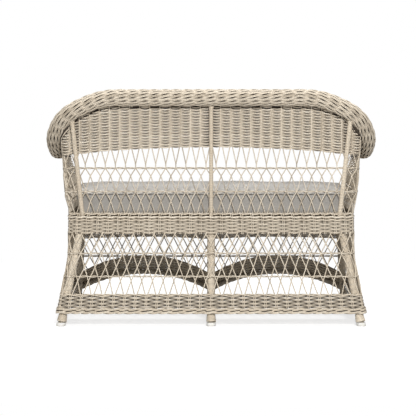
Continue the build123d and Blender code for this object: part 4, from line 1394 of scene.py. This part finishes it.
@dataclass
class FrontPanel:
    """Front seat band with its arched edge, the open lattice, and two arched aprons with their trim."""

    shop: Workshop
    offset: float = 0.0196
    foot_x: float = 0.540
    band_end: float = 0.262
    band_rise: float = 0.272
    band_top: float = 0.408
    apron_end: float = 0.118
    apron_rise: float = 0.197
    trim_end: float = 0.061
    trim_rise: float = 0.134
    border_end: float = 0.047
    border_rise: float = 0.120
    knot_height: float = 0.193
    knots: int = 13
    outward: Vector = Vector((0.0, -1.0, 0.0))
    band_count: int = 20
    band_spread: float = 0.0018
    apron_count: int = 12
    pair_half: float = 0.0022
    weaver_end: float = 0.527
    apron_span: tuple[float, float] = (0.001, 0.530)
    trim_span: tuple[float, float] = (0.002, 0.538)
    trim_lift: float = 0.007
    trim_standoff: float = 0.0025
    trim_spread: float = 0.0022
    buried: float = 0.004

    def arc(self, end: float, rise: float, x: float) -> float:
        """Height of an arched edge of one bay."""
        half = self.foot_x / 2
        sag = rise - end
        radius = (half * half + sag * sag) / (2 * sag)
        return rise - radius + math.sqrt(radius * radius - (abs(x) - half) ** 2)

    def point(self, x: float, height: float, extra: float = 0.0) -> Vector:
        """Point of the front at a height."""
        return Vector((x, SKELETON.front_leg.at(height).y - self.offset - extra, height))

    def row(self, guides: Guides, height: Callable[[float], float], low_x: float, high_x: float, phase: float,
            lift: float = 0.0, extra: float = 0.0) -> None:
        """Adds one strand across the front.

        Args:
            guides: Where it goes.
            height: Its height at each x.
            low_x: Its right end.
            high_x: Its left end.
            phase: Shift of its waves.
            lift: How far above that height it runs.
            extra: How far it stands off the front.
        """
        xs = np.linspace(low_x, high_x, max(4, round((high_x - low_x) / 0.010)))
        guides.add([self.point(x, height(x) + lift, extra) for x in xs], [self.outward] * len(xs),
                   [UP] * len(xs), [x / FRONT_PITCH for x in xs], phase)

    def upright_pairs(self, guides: Guides, knots: Iterable[int], low: Callable[[float], float],
                      high: Callable[[float], float], count: int) -> None:
        """Adds the upright pairs that rows pass over and under.

        Args:
            guides: Where they go.
            knots: Number of each pair, counted from the middle.
            low: Height of their feet at each x.
            high: Height of their heads at each x.
            count: Points of each strand.
        """
        for knot in knots:
            for lean in (-1, 1):
                x = knot * FRONT_PITCH + self.pair_half * lean
                guides.add_plain([self.point(x, z) for z in np.linspace(low(x), high(x), count)])

    def end_x(self, height: float) -> float:
        """Where the flat of the front ends."""
        return SKELETON.front_leg.at(height).x + self.offset - 0.017

    def band(self) -> list[bpy.types.Object]:
        """Basket rows of the front seat band."""
        rows, uprights = Guides(STRAND_SEED + 59), Guides(STRAND_SEED + 61)

        def edge(x: float) -> float:
            """Height of the band's arched edge."""
            return self.arc(self.band_end, self.band_rise, x)

        for index in range(self.band_count):
            def height(x: float, share: float = (index + 0.5) / self.band_count) -> float:
                """Height of this row."""
                return edge(x) + share * (self.band_top - edge(x))

            end = self.end_x(height(0.5))
            for side in (-1, 1):
                self.row(rows, height, -end, end, math.pi * index, lift=self.band_spread * side)
        self.upright_pairs(uprights, range(-self.knots, self.knots + 1), lambda x: edge(x) - 0.001,
                           lambda x: self.band_top, 8)
        strand = self.shop.palette[Finish.STRAND]
        return [self.shop.strands.weave("front_band_rows", rows, Weave(0.0018, depth=0.0027, dip=-0.0006), strand),
                self.shop.strands.weave("front_band_uprights", uprights, FRONT_UPRIGHT, strand)]

    def strand_places(self, knot: int, lean: int) -> Iterator[Union[Vector, None]]:
        """Places of one crossing strand.

        Args:
            knot: Number of its head, counted from the middle.
            lean: Which way it leans, -1 or 1.

        Yields:
            Each place, or None where it is past the front's end or behind an apron.
        """
        start = knot * FRONT_PITCH
        top = self.arc(self.band_end, self.band_rise, min(abs(start), self.foot_x))
        line = [(start - lean * 0.004, top + 0.006), (start, top), (start + lean * FRONT_PITCH, self.knot_height),
                (start + 2 * lean * FRONT_PITCH, 2 * self.knot_height - top)]
        for (x0, z0), (x1, z1) in zip(line, line[1:]):
            for step in range(10):
                x, z = x0 + (x1 - x0) * step / 10, z0 + (z1 - z0) * step / 10
                apron = self.arc(self.apron_end, self.apron_rise, min(abs(x), self.foot_x)) - self.buried
                yield None if abs(x) > self.end_x(z) or z < apron else self.point(x, z, PLY_GAP * lean)

    def lattice(self) -> list[bpy.types.Object]:
        """Crossing strands between the seat band and the aprons."""
        crossed, pair = Guides(STRAND_SEED + 67), Guides(STRAND_SEED + 71)
        for knot in range(-self.knots - 2, self.knots + 3):
            for lean in (-1, 1):
                crossed.add_stretches(self.strand_places(knot, lean))
        for phase in (0.0, math.pi):
            self.row(pair, lambda x: self.knot_height, -self.weaver_end, self.weaver_end, phase)
        strand = self.shop.palette[Finish.STRAND]
        return [self.shop.strands.weave("front_strands", crossed, CROSSING, strand),
                self.shop.strands.weave("front_weaver", pair, TWINED, strand)]

    def apron(self, side: int) -> list[bpy.types.Object]:
        """Dense rows of one apron, which follow its arch."""
        rows, uprights = Guides(STRAND_SEED + 73), Guides(STRAND_SEED + 79)

        def low(x: float) -> float:
            """Height of the apron's lower edge."""
            return self.arc(self.trim_end, self.trim_rise, x)

        def high(x: float) -> float:
            """Height of its upper edge."""
            return self.arc(self.apron_end, self.apron_rise, x)

        for index in range(self.apron_count):
            self.row(rows, lambda x, t=(index + 0.5) / self.apron_count: low(x) + t * (high(x) - low(x)),
                     *sorted(side * x for x in self.apron_span), math.pi * index)
        self.upright_pairs(uprights, range(side, side * (self.knots + 1), side), low, high, 6)
        strand = self.shop.palette[Finish.STRAND]
        return [self.shop.strands.weave(f"apron_rows_{side}", rows, Weave(0.0028, depth=0.0025, dip=-0.0006), strand),
                self.shop.strands.weave(f"apron_uprights_{side}", uprights, FRONT_UPRIGHT, strand)]

    def trim(self) -> list[bpy.types.Object]:
        """Rope along the lower edge of both aprons."""
        guides = Guides(STRAND_SEED + 83)
        end, rise = self.border_end + self.trim_lift, self.border_rise + self.trim_lift
        for side in (-1, 1):
            for bundle in range(3):
                for strand in (-1, 0, 1):
                    self.row(guides, lambda x: self.arc(end, rise, x), *sorted(side * x for x in self.trim_span),
                             2 * math.pi * bundle / 3 + 0.22 * strand, lift=self.trim_spread * strand,
                             extra=self.trim_standoff)
        return [self.shop.strands.weave("trim_rope", guides, Weave(0.0021, depth=0.0036, twist=0.0040),
                                        self.shop.palette[Finish.STRAND])]

    def build(self) -> None:
        """Makes the front's pieces."""
        for name, parts, node in (("front_band_weave", self.band(), "seat_band_front"),
                                  ("front_open_lattice", self.lattice(), "front_lattice"),
                                  ("front_apron_weave_left", self.apron(1), "front_apron_left"),
                                  ("front_apron_weave_right", self.apron(-1), "front_apron_right"),
                                  ("apron_trim_braid", self.trim(), "apron_trim")):
            self.shop.piece(name, parts, "woven_strand", [node])


# Wraps

@dataclass
class Windings:
    """Strand wound on the posts, the legs and the feet."""

    shop: Workshop
    post_reach: float = 0.0076
    centre_reach: float = 0.0066
    leg_reach: float = 0.0140
    foot_reach: float = 0.0172
    top_reach: float = 0.0142
    knob: float = 0.0035
    knob_share: float = 0.035
    post_low: float = 0.4010
    back_top: float = 0.7760
    arm_top: float = 0.5950
    centre_top: float = 0.8300
    post_pitch: float = 0.0030
    leg_span: tuple[float, float] = (0.0465, 0.3750)
    leg_pitch: float = 0.0034
    foot_span: tuple[float, float] = (0.0165, 0.0445)
    foot_pitch: float = 0.0042

    def helix(self, guides: Guides, member: Member, low: float, high: float, pitch: float,
              reach: Callable[[float], float]) -> None:
        """Adds the axis of one winding, whose directions are as long as the winding is wide.

        Args:
            guides: Where it goes.
            member: Leg or post that it is wound on.
            low: Its lowest height.
            high: Its highest height.
            pitch: Distance from turn to turn.
            reach: Radius of the winding at a share of its height.
        """
        start, end = member.at(low), member.at(high)
        axis = (end - start).normalized()
        side = axis.cross(Vector((0.0, 1.0, 0.0))).normalized()
        other = axis.cross(side)
        count = 25
        shares = [index / (count - 1) for index in range(count)]
        length = (end - start).length
        guides.add([start.lerp(end, share) for share in shares], [side * reach(share) for share in shares],
                   [other * reach(share) for share in shares], [2 * share * length / pitch for share in shares])

    def both(self, member: Member) -> list[Member]:
        """The member and its twin on the other side."""
        return [member, Member(*mirrored([member.foot, member.head]))]

    def build(self) -> None:
        """Makes the three windings."""
        weave, wound = self.shop.strands.weave, self.shop.palette[Finish.WOUND]
        posts = Guides(STRAND_SEED + 89)

        def flared(reach: float) -> Callable[[float], float]:
            """Winding that thickens into a knob at the rim."""
            start = 1 - self.knob_share
            return lambda share: reach + self.knob * max(0.0, (share - start) / self.knob_share)

        bound = [(self.both(SKELETON.back_post), self.back_top, self.post_reach),
                 (self.both(SKELETON.arm_post), self.arm_top, self.post_reach),
                 ([SKELETON.centre_post], self.centre_top, self.centre_reach)]
        for members, top, reach in bound:
            for member in members:
                self.helix(posts, member, self.post_low, top, self.post_pitch, flared(reach))
        turning = Weave(0.0016, depth=1.0, twist=1.0, spacing=0.0003, sides=4)
        self.shop.piece("post_binding_strand", [weave("post_windings", posts, turning, wound)], "wound_strand",
                        ["post_bindings"])
        legs, feet = Guides(STRAND_SEED + 97), Guides(STRAND_SEED + 101)
        members = [*self.both(SKELETON.back_leg), *self.both(SKELETON.front_leg), SKELETON.centre_leg,
                   SKELETON.centre_front_leg]
        for member in members:
            self.helix(legs, member, *self.leg_span, self.leg_pitch, lambda share: self.leg_reach)
            self.helix(feet, member, *self.foot_span, self.foot_pitch,
                       lambda share: self.foot_reach + share * (self.top_reach - self.foot_reach))
        self.shop.piece("leg_wrap_strand",
                        [weave("leg_windings", legs, Weave(0.0017, depth=1.0, twist=1.0, spacing=0.00031, sides=4),
                               wound)], "wound_strand", ["leg_wraps"])
        self.shop.piece("foot_wrap_strand",
                        [weave("foot_windings", feet, Weave(0.0023, depth=1.0, twist=1.0, spacing=0.00028), wound)],
                        "wound_strand", ["foot_wraps"])


# Cushion

@dataclass
class SeatCushion:
    """Boxed seat cushion: crowned panels, side panels drawn in between the corners, and piped seams."""

    shop: Workshop
    bottom: float = 0.4086
    back_y: float = 0.275
    front_y: float = -0.315
    back_half: float = 0.497
    front_half: float = 0.503
    corner_radius: float = 0.022
    flare: float = 0.014
    low_seam: float = 0.010
    high_seam: float = 0.083
    crown: float = 0.008
    across_count: int = 84
    deep_count: int = 52
    side_rows: int = 6
    pressure: float = 4.0
    swell_limit: float = 0.011
    side_limit: float = 0.004
    seam_inset: float = 0.001
    side_draw: float = 0.004
    crown_reach: float = 0.11
    crown_power: float = 2.2
    steep_ends: float = 6.0
    underside: float = 0.0005
    deck_gap: float = 0.0003
    side_pull: float = 0.0006
    top_pull: float = 0.0012
    frames: int = 20

    def plan_point(self, share_x: float, share_y: float, inset: float, flare: float = 0.0) -> tuple[float, float]:
        """Point of the rounded plan for a point of the unit square.

        Args:
            share_x: -1 to 1 from right to left.
            share_y: -1 to 1 from front to back.
            inset: Distance that the plan is drawn in.
            flare: How much further out its two sides stand.

        Returns:
            x and y.
        """
        middle = (self.back_y + self.front_y) / 2
        half_y = (self.back_y - self.front_y) / 2 - inset
        y = share_y * half_y
        half_x = self.front_half + (self.back_half - self.front_half) * (share_y + 1) / 2 - inset + flare
        x = share_x * half_x
        over_x, over_y = abs(x) - (half_x - self.corner_radius), abs(y) - (half_y - self.corner_radius)
        if over_x > 0 and over_y > 0:
            reach = max(over_x, over_y) / math.hypot(over_x, over_y)
            x = math.copysign(half_x - self.corner_radius + over_x * reach, x)
            y = math.copysign(half_y - self.corner_radius + over_y * reach, y)
        return x, y + middle

    def panel_crown(self, share_x: float, share_y: float) -> float:
        """How far the top panel stands up, from 0 at its seam to 1."""
        edge = min((1 - abs(share_x)) * self.front_half * self.steep_ends,
                   (1 - abs(share_y)) * (self.back_y - self.front_y) / 2)
        return 1 - (1 - min(edge / self.crown_reach, 1.0)) ** self.crown_power

    def mesh(self) -> bpy.types.Mesh:
        """Closed mesh of the top, the side and the bottom, with shared seam loops."""
        vertices: list[tuple[float, float, float]] = []
        faces: list[tuple[int, ...]] = []
        nx, ny = self.across_count, self.deep_count
        grid: dict[tuple[str, int, int], int] = {}
        for panel, seam in (("low", self.low_seam), ("high", self.high_seam)):
            for i in range(nx + 1):
                for j in range(ny + 1):
                    share_x, share_y = 2 * i / nx - 1, 2 * j / ny - 1
                    x, y = self.plan_point(share_x, share_y, self.seam_inset, self.flare if panel == "high" else 0.0)
                    crown = self.panel_crown(share_x, share_y)
                    z = seam + (self.crown * crown if panel == "high"
                                else (self.underside - seam) * min(1.0, crown * 4))
                    grid[panel, i, j] = len(vertices)
                    vertices.append((x, y, self.bottom + z))
            for i in range(nx):
                for j in range(ny):
                    face = (grid[panel, i, j], grid[panel, i + 1, j], grid[panel, i + 1, j + 1], grid[panel, i, j + 1])
                    faces.append(face if panel == "high" else face[::-1])
        ring = ([(i, 0) for i in range(nx)] + [(nx, j) for j in range(ny)] + [(i, ny) for i in range(nx, 0, -1)]
                + [(0, j) for j in range(ny, 0, -1)])
        loops = [[grid["low", i, j] for i, j in ring]]
        for row in range(1, self.side_rows):
            share = row / self.side_rows
            inset = self.seam_inset + self.side_draw * math.sin(math.pi * share)
            loop = []
            for i, j in ring:
                x, y = self.plan_point(2 * i / nx - 1, 2 * j / ny - 1, inset, share * self.flare)
                loop.append(len(vertices))
                vertices.append((x, y, self.bottom + self.low_seam + share * (self.high_seam - self.low_seam)))
            loops.append(loop)
        loops.append([grid["high", i, j] for i, j in ring])
        for low, high in zip(loops, loops[1:]):
            for k in range(len(ring)):
                n = (k + 1) % len(ring)
                faces.append((low[k], low[n], high[n], high[k]))
        mesh = bpy.data.meshes.new("seat_cushion")
        mesh.from_pydata(vertices, [], faces)
        self.seams = [loops[0], loops[-1]]
        return mesh

    def swell(self, cushion: bpy.types.Object) -> None:
        """Fills the cover with air in a cloth simulation, held at its seams, and keeps the result within a limit."""
        start = np.empty(len(cushion.data.vertices) * 3)
        cushion.data.vertices.foreach_get("co", start)
        start = start.reshape(-1, 3)
        group = cushion.vertex_groups.new(name="seams")
        group.add([index for loop in self.seams for index in loop], 1.0, "REPLACE")
        cloth = cushion.modifiers.new("cloth", "CLOTH")
        settings = cloth.settings
        settings.quality = 6
        settings.mass = 0.25
        settings.tension_stiffness = settings.compression_stiffness = 18
        settings.bending_stiffness = 1.2
        settings.use_pressure = True
        settings.uniform_pressure_force = self.pressure
        settings.vertex_group_mass = group.name
        settings.effector_weights.gravity = 0.0
        cloth.collision_settings.use_collision = False
        scene = bpy.context.scene
        for number in range(1, self.frames + 1):
            scene.frame_set(number)
        graph = bpy.context.evaluated_depsgraph_get()
        swollen = cushion.evaluated_get(graph).to_mesh()
        end = np.empty(len(swollen.vertices) * 3)
        swollen.vertices.foreach_get("co", end)
        cushion.evaluated_get(graph).to_mesh_clear()
        move = end.reshape(-1, 3) - start
        size = np.linalg.norm(move, axis=1, keepdims=True)
        height = start[:, 2:] - self.bottom
        limit = np.where((height > self.low_seam) & (height < self.high_seam), self.side_limit, self.swell_limit)
        move *= np.minimum(1.0, limit / np.maximum(size, 1e-9))
        result = start + move
        result[:, 2] = np.maximum(result[:, 2], self.bottom + self.deck_gap)
        cushion.modifiers.clear()
        cushion.vertex_groups.clear()
        cushion.data.vertices.foreach_set("co", result.ravel())
        cushion.data.update()
        scene.frame_set(1)

    def wrinkle(self, cushion: bpy.types.Object) -> None:
        """Shallow pulls at right angles to the seams."""
        coords = np.empty(len(cushion.data.vertices) * 3)
        cushion.data.vertices.foreach_get("co", coords)
        coords = coords.reshape(-1, 3)
        height = coords[:, 2] - self.bottom
        middle, half = (self.high_seam + self.low_seam) / 2, (self.high_seam - self.low_seam) / 2
        side = np.clip(1 - np.abs(height - middle) / half, 0, 1)
        wave = np.sin(coords[:, 0] * 95 + 1.3 * np.sin(coords[:, 1] * 41)) + np.sin(coords[:, 1] * 83 + 0.7)
        centre = np.array((0.0, (self.back_y + self.front_y) / 2))
        away = coords[:, :2] - centre
        away /= np.maximum(np.linalg.norm(away, axis=1, keepdims=True), 1e-6)
        coords[:, :2] += away * (self.side_pull * side * wave)[:, None]
        top = np.clip((height - self.high_seam) / 0.01, 0, 1)
        coords[:, 2] += self.top_pull * top * np.sin(coords[:, 0] * 23 + 2 * np.sin(coords[:, 1] * 9))
        cushion.data.vertices.foreach_set("co", coords.ravel())

    def piping(self, cushion: bpy.types.Object) -> bpy.types.Object:
        """Round piping sewn into both seams."""
        guides = Guides(STRAND_SEED + 103)
        for loop in self.seams:
            points = [cushion.data.vertices[index].co.copy() for index in loop]
            start = len(guides.places)
            guides.add_plain(points)
            guides.edges.append((start + len(points) - 1, start))
        return self.shop.strands.weave("cushion_piping", guides, Weave(0.0028, spacing=0.008, sides=8),
                                       self.shop.palette[Finish.FABRIC])

    def build(self) -> None:
        """Makes the cushion and its piping."""
        cushion = linked("seat_cushion", self.mesh())
        self.swell(cushion)
        self.wrinkle(cushion)
        piping = self.piping(cushion)
        smooth = cushion.modifiers.new("smooth", "SUBSURF")
        smooth.levels = smooth.render_levels = 1
        graph = bpy.context.evaluated_depsgraph_get()
        mesh = bpy.data.meshes.new_from_object(cushion.evaluated_get(graph))
        cushion.modifiers.clear()
        cushion.data = mesh
        mesh.materials.append(self.shop.palette[Finish.FABRIC])
        mesh.polygons.foreach_set("use_smooth", [True] * len(mesh.polygons))
        piece = self.shop.piece("seat_cushion", [cushion, piping], "cushion_fabric", ["cushion_cover", "cushion_core"],
                                CUSHION_BODY)


# Frame finishes, floor, light and camera

@dataclass
class FrameFinishes:
    """Finishes of the tubes, glides and deck that keep their own shape."""

    shop: Workshop

    def build(self) -> None:
        """Gives each visible node its finish."""
        for name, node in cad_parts.items():
            if name == "seat_deck":
                finish = Finish.DECK
            elif name == "leg_glides":
                finish = Finish.GLIDE
            elif any(word in name for word in ("leg", "post", "rail", "tube")) and "wrap" not in name:
                finish = Finish.TUBE
            else:
                finish = Finish.STRAND
            for slot in node.material_slots:
                slot.material = self.shop.palette[finish]
            log.info("%s: %s", name, finish.name.lower())


@dataclass(frozen=True)
class Lamp:
    """A soft square lamp that looks at a point."""

    name: str
    place: tuple[float, float, float]
    aim: tuple[float, float, float]
    size: float
    power: float

    def build(self) -> None:
        """Adds the lamp."""
        data = bpy.data.lights.new(self.name, "AREA")
        data.shape = "SQUARE"
        data.size = self.size
        data.energy = self.power
        lamp = linked(self.name, data)
        lamp.location = self.place
        lamp.rotation_euler = (Vector(self.aim) - Vector(self.place)).to_track_quat("-Z", "Y").to_euler()


@dataclass
class Studio:
    """White floor, soft light and a camera where the photograph was taken from."""

    shop: Workshop
    world_level: float = 0.30
    camera_place: tuple[float, float, float] = (0.0117, 8.945, 1.140)
    camera_pitch: float = 4.62
    lens: float = 199.5
    floor_corners: tuple[tuple[float, float, float], ...] = ((-90, -140, 0), (90, -140, 0), (90, 60, 0), (-90, 60, 0))
    lamps: tuple[Lamp, ...] = (Lamp("key", (-0.6, 7.0, 4.0), (0.0, 0.2, 0.5), 0.7, 455.0),
                               Lamp("overhead", (0.3, 0.9, 4.2), (0.0, 0.0, 0.4), 2.6, 85.0),
                               Lamp("fill", (0.8, -6.0, 2.5), (0.0, 0.0, 0.5), 1.6, 85.0))

    def floor(self) -> None:
        """Large flat floor at the glides' height."""
        mesh = bpy.data.meshes.new("studio_floor")
        mesh.from_pydata(self.floor_corners, [], [(0, 1, 2, 3)])
        mesh.materials.append(self.shop.palette[Finish.FLOOR])
        linked("studio_floor", mesh)

    def world(self) -> None:
        """White for the camera, plain grey light for the rest."""
        world = bpy.data.worlds.new("studio")
        world.use_nodes = True
        world.node_tree.nodes.clear()
        kit = NodeKit(world.node_tree)
        path = kit.add("ShaderNodeLightPath")
        seen = (path["Is Camera Ray"] + path["Is Transmission Ray"]).shaped("MINIMUM", 1.0)
        grey, white = (kit.add("ShaderNodeBackground", {}, {"Color": (1.0,) * 3, "Strength": strength})[0]
                       for strength in (self.world_level, 1.0))
        kit.add("ShaderNodeOutputWorld", {}, {"Surface": kit.blended(seen, grey, white)})
        bpy.context.scene.world = world

    def camera(self) -> None:
        """Long lens behind the loveseat, a little above it."""
        data = bpy.data.cameras.new("photo_camera")
        data.sensor_width = 36.0
        data.lens = self.lens
        data.clip_end = 200.0
        camera = linked("photo_camera", data)
        camera.location = self.camera_place
        camera.rotation_euler = (math.radians(90 - self.camera_pitch), 0.0, math.pi)
        bpy.context.scene.camera = camera

    def build(self) -> None:
        """Sets the scene up."""
        bpy.context.scene.view_settings.view_transform = "Standard"
        self.floor()
        self.world()
        for lamp in self.lamps:
            lamp.build()
        self.camera()


def main() -> None:
    """Builds every piece in order."""
    logging.basicConfig(level=logging.INFO, format="%(name)s %(message)s")
    shop = Workshop()
    Studio(shop).build()
    rim = RolledRim(shop)
    rim.build()
    upper = UpperSkin(shop, rim)
    upper.build()
    LowerSkin(shop, upper).build()
    FrontPanel(shop).build()
    Windings(shop).build()
    SeatCushion(shop).build()
    FrameFinishes(shop).build()
    log.info("all pieces: %d triangles", shop.triangles)


if __name__ == "__main__":
    main()
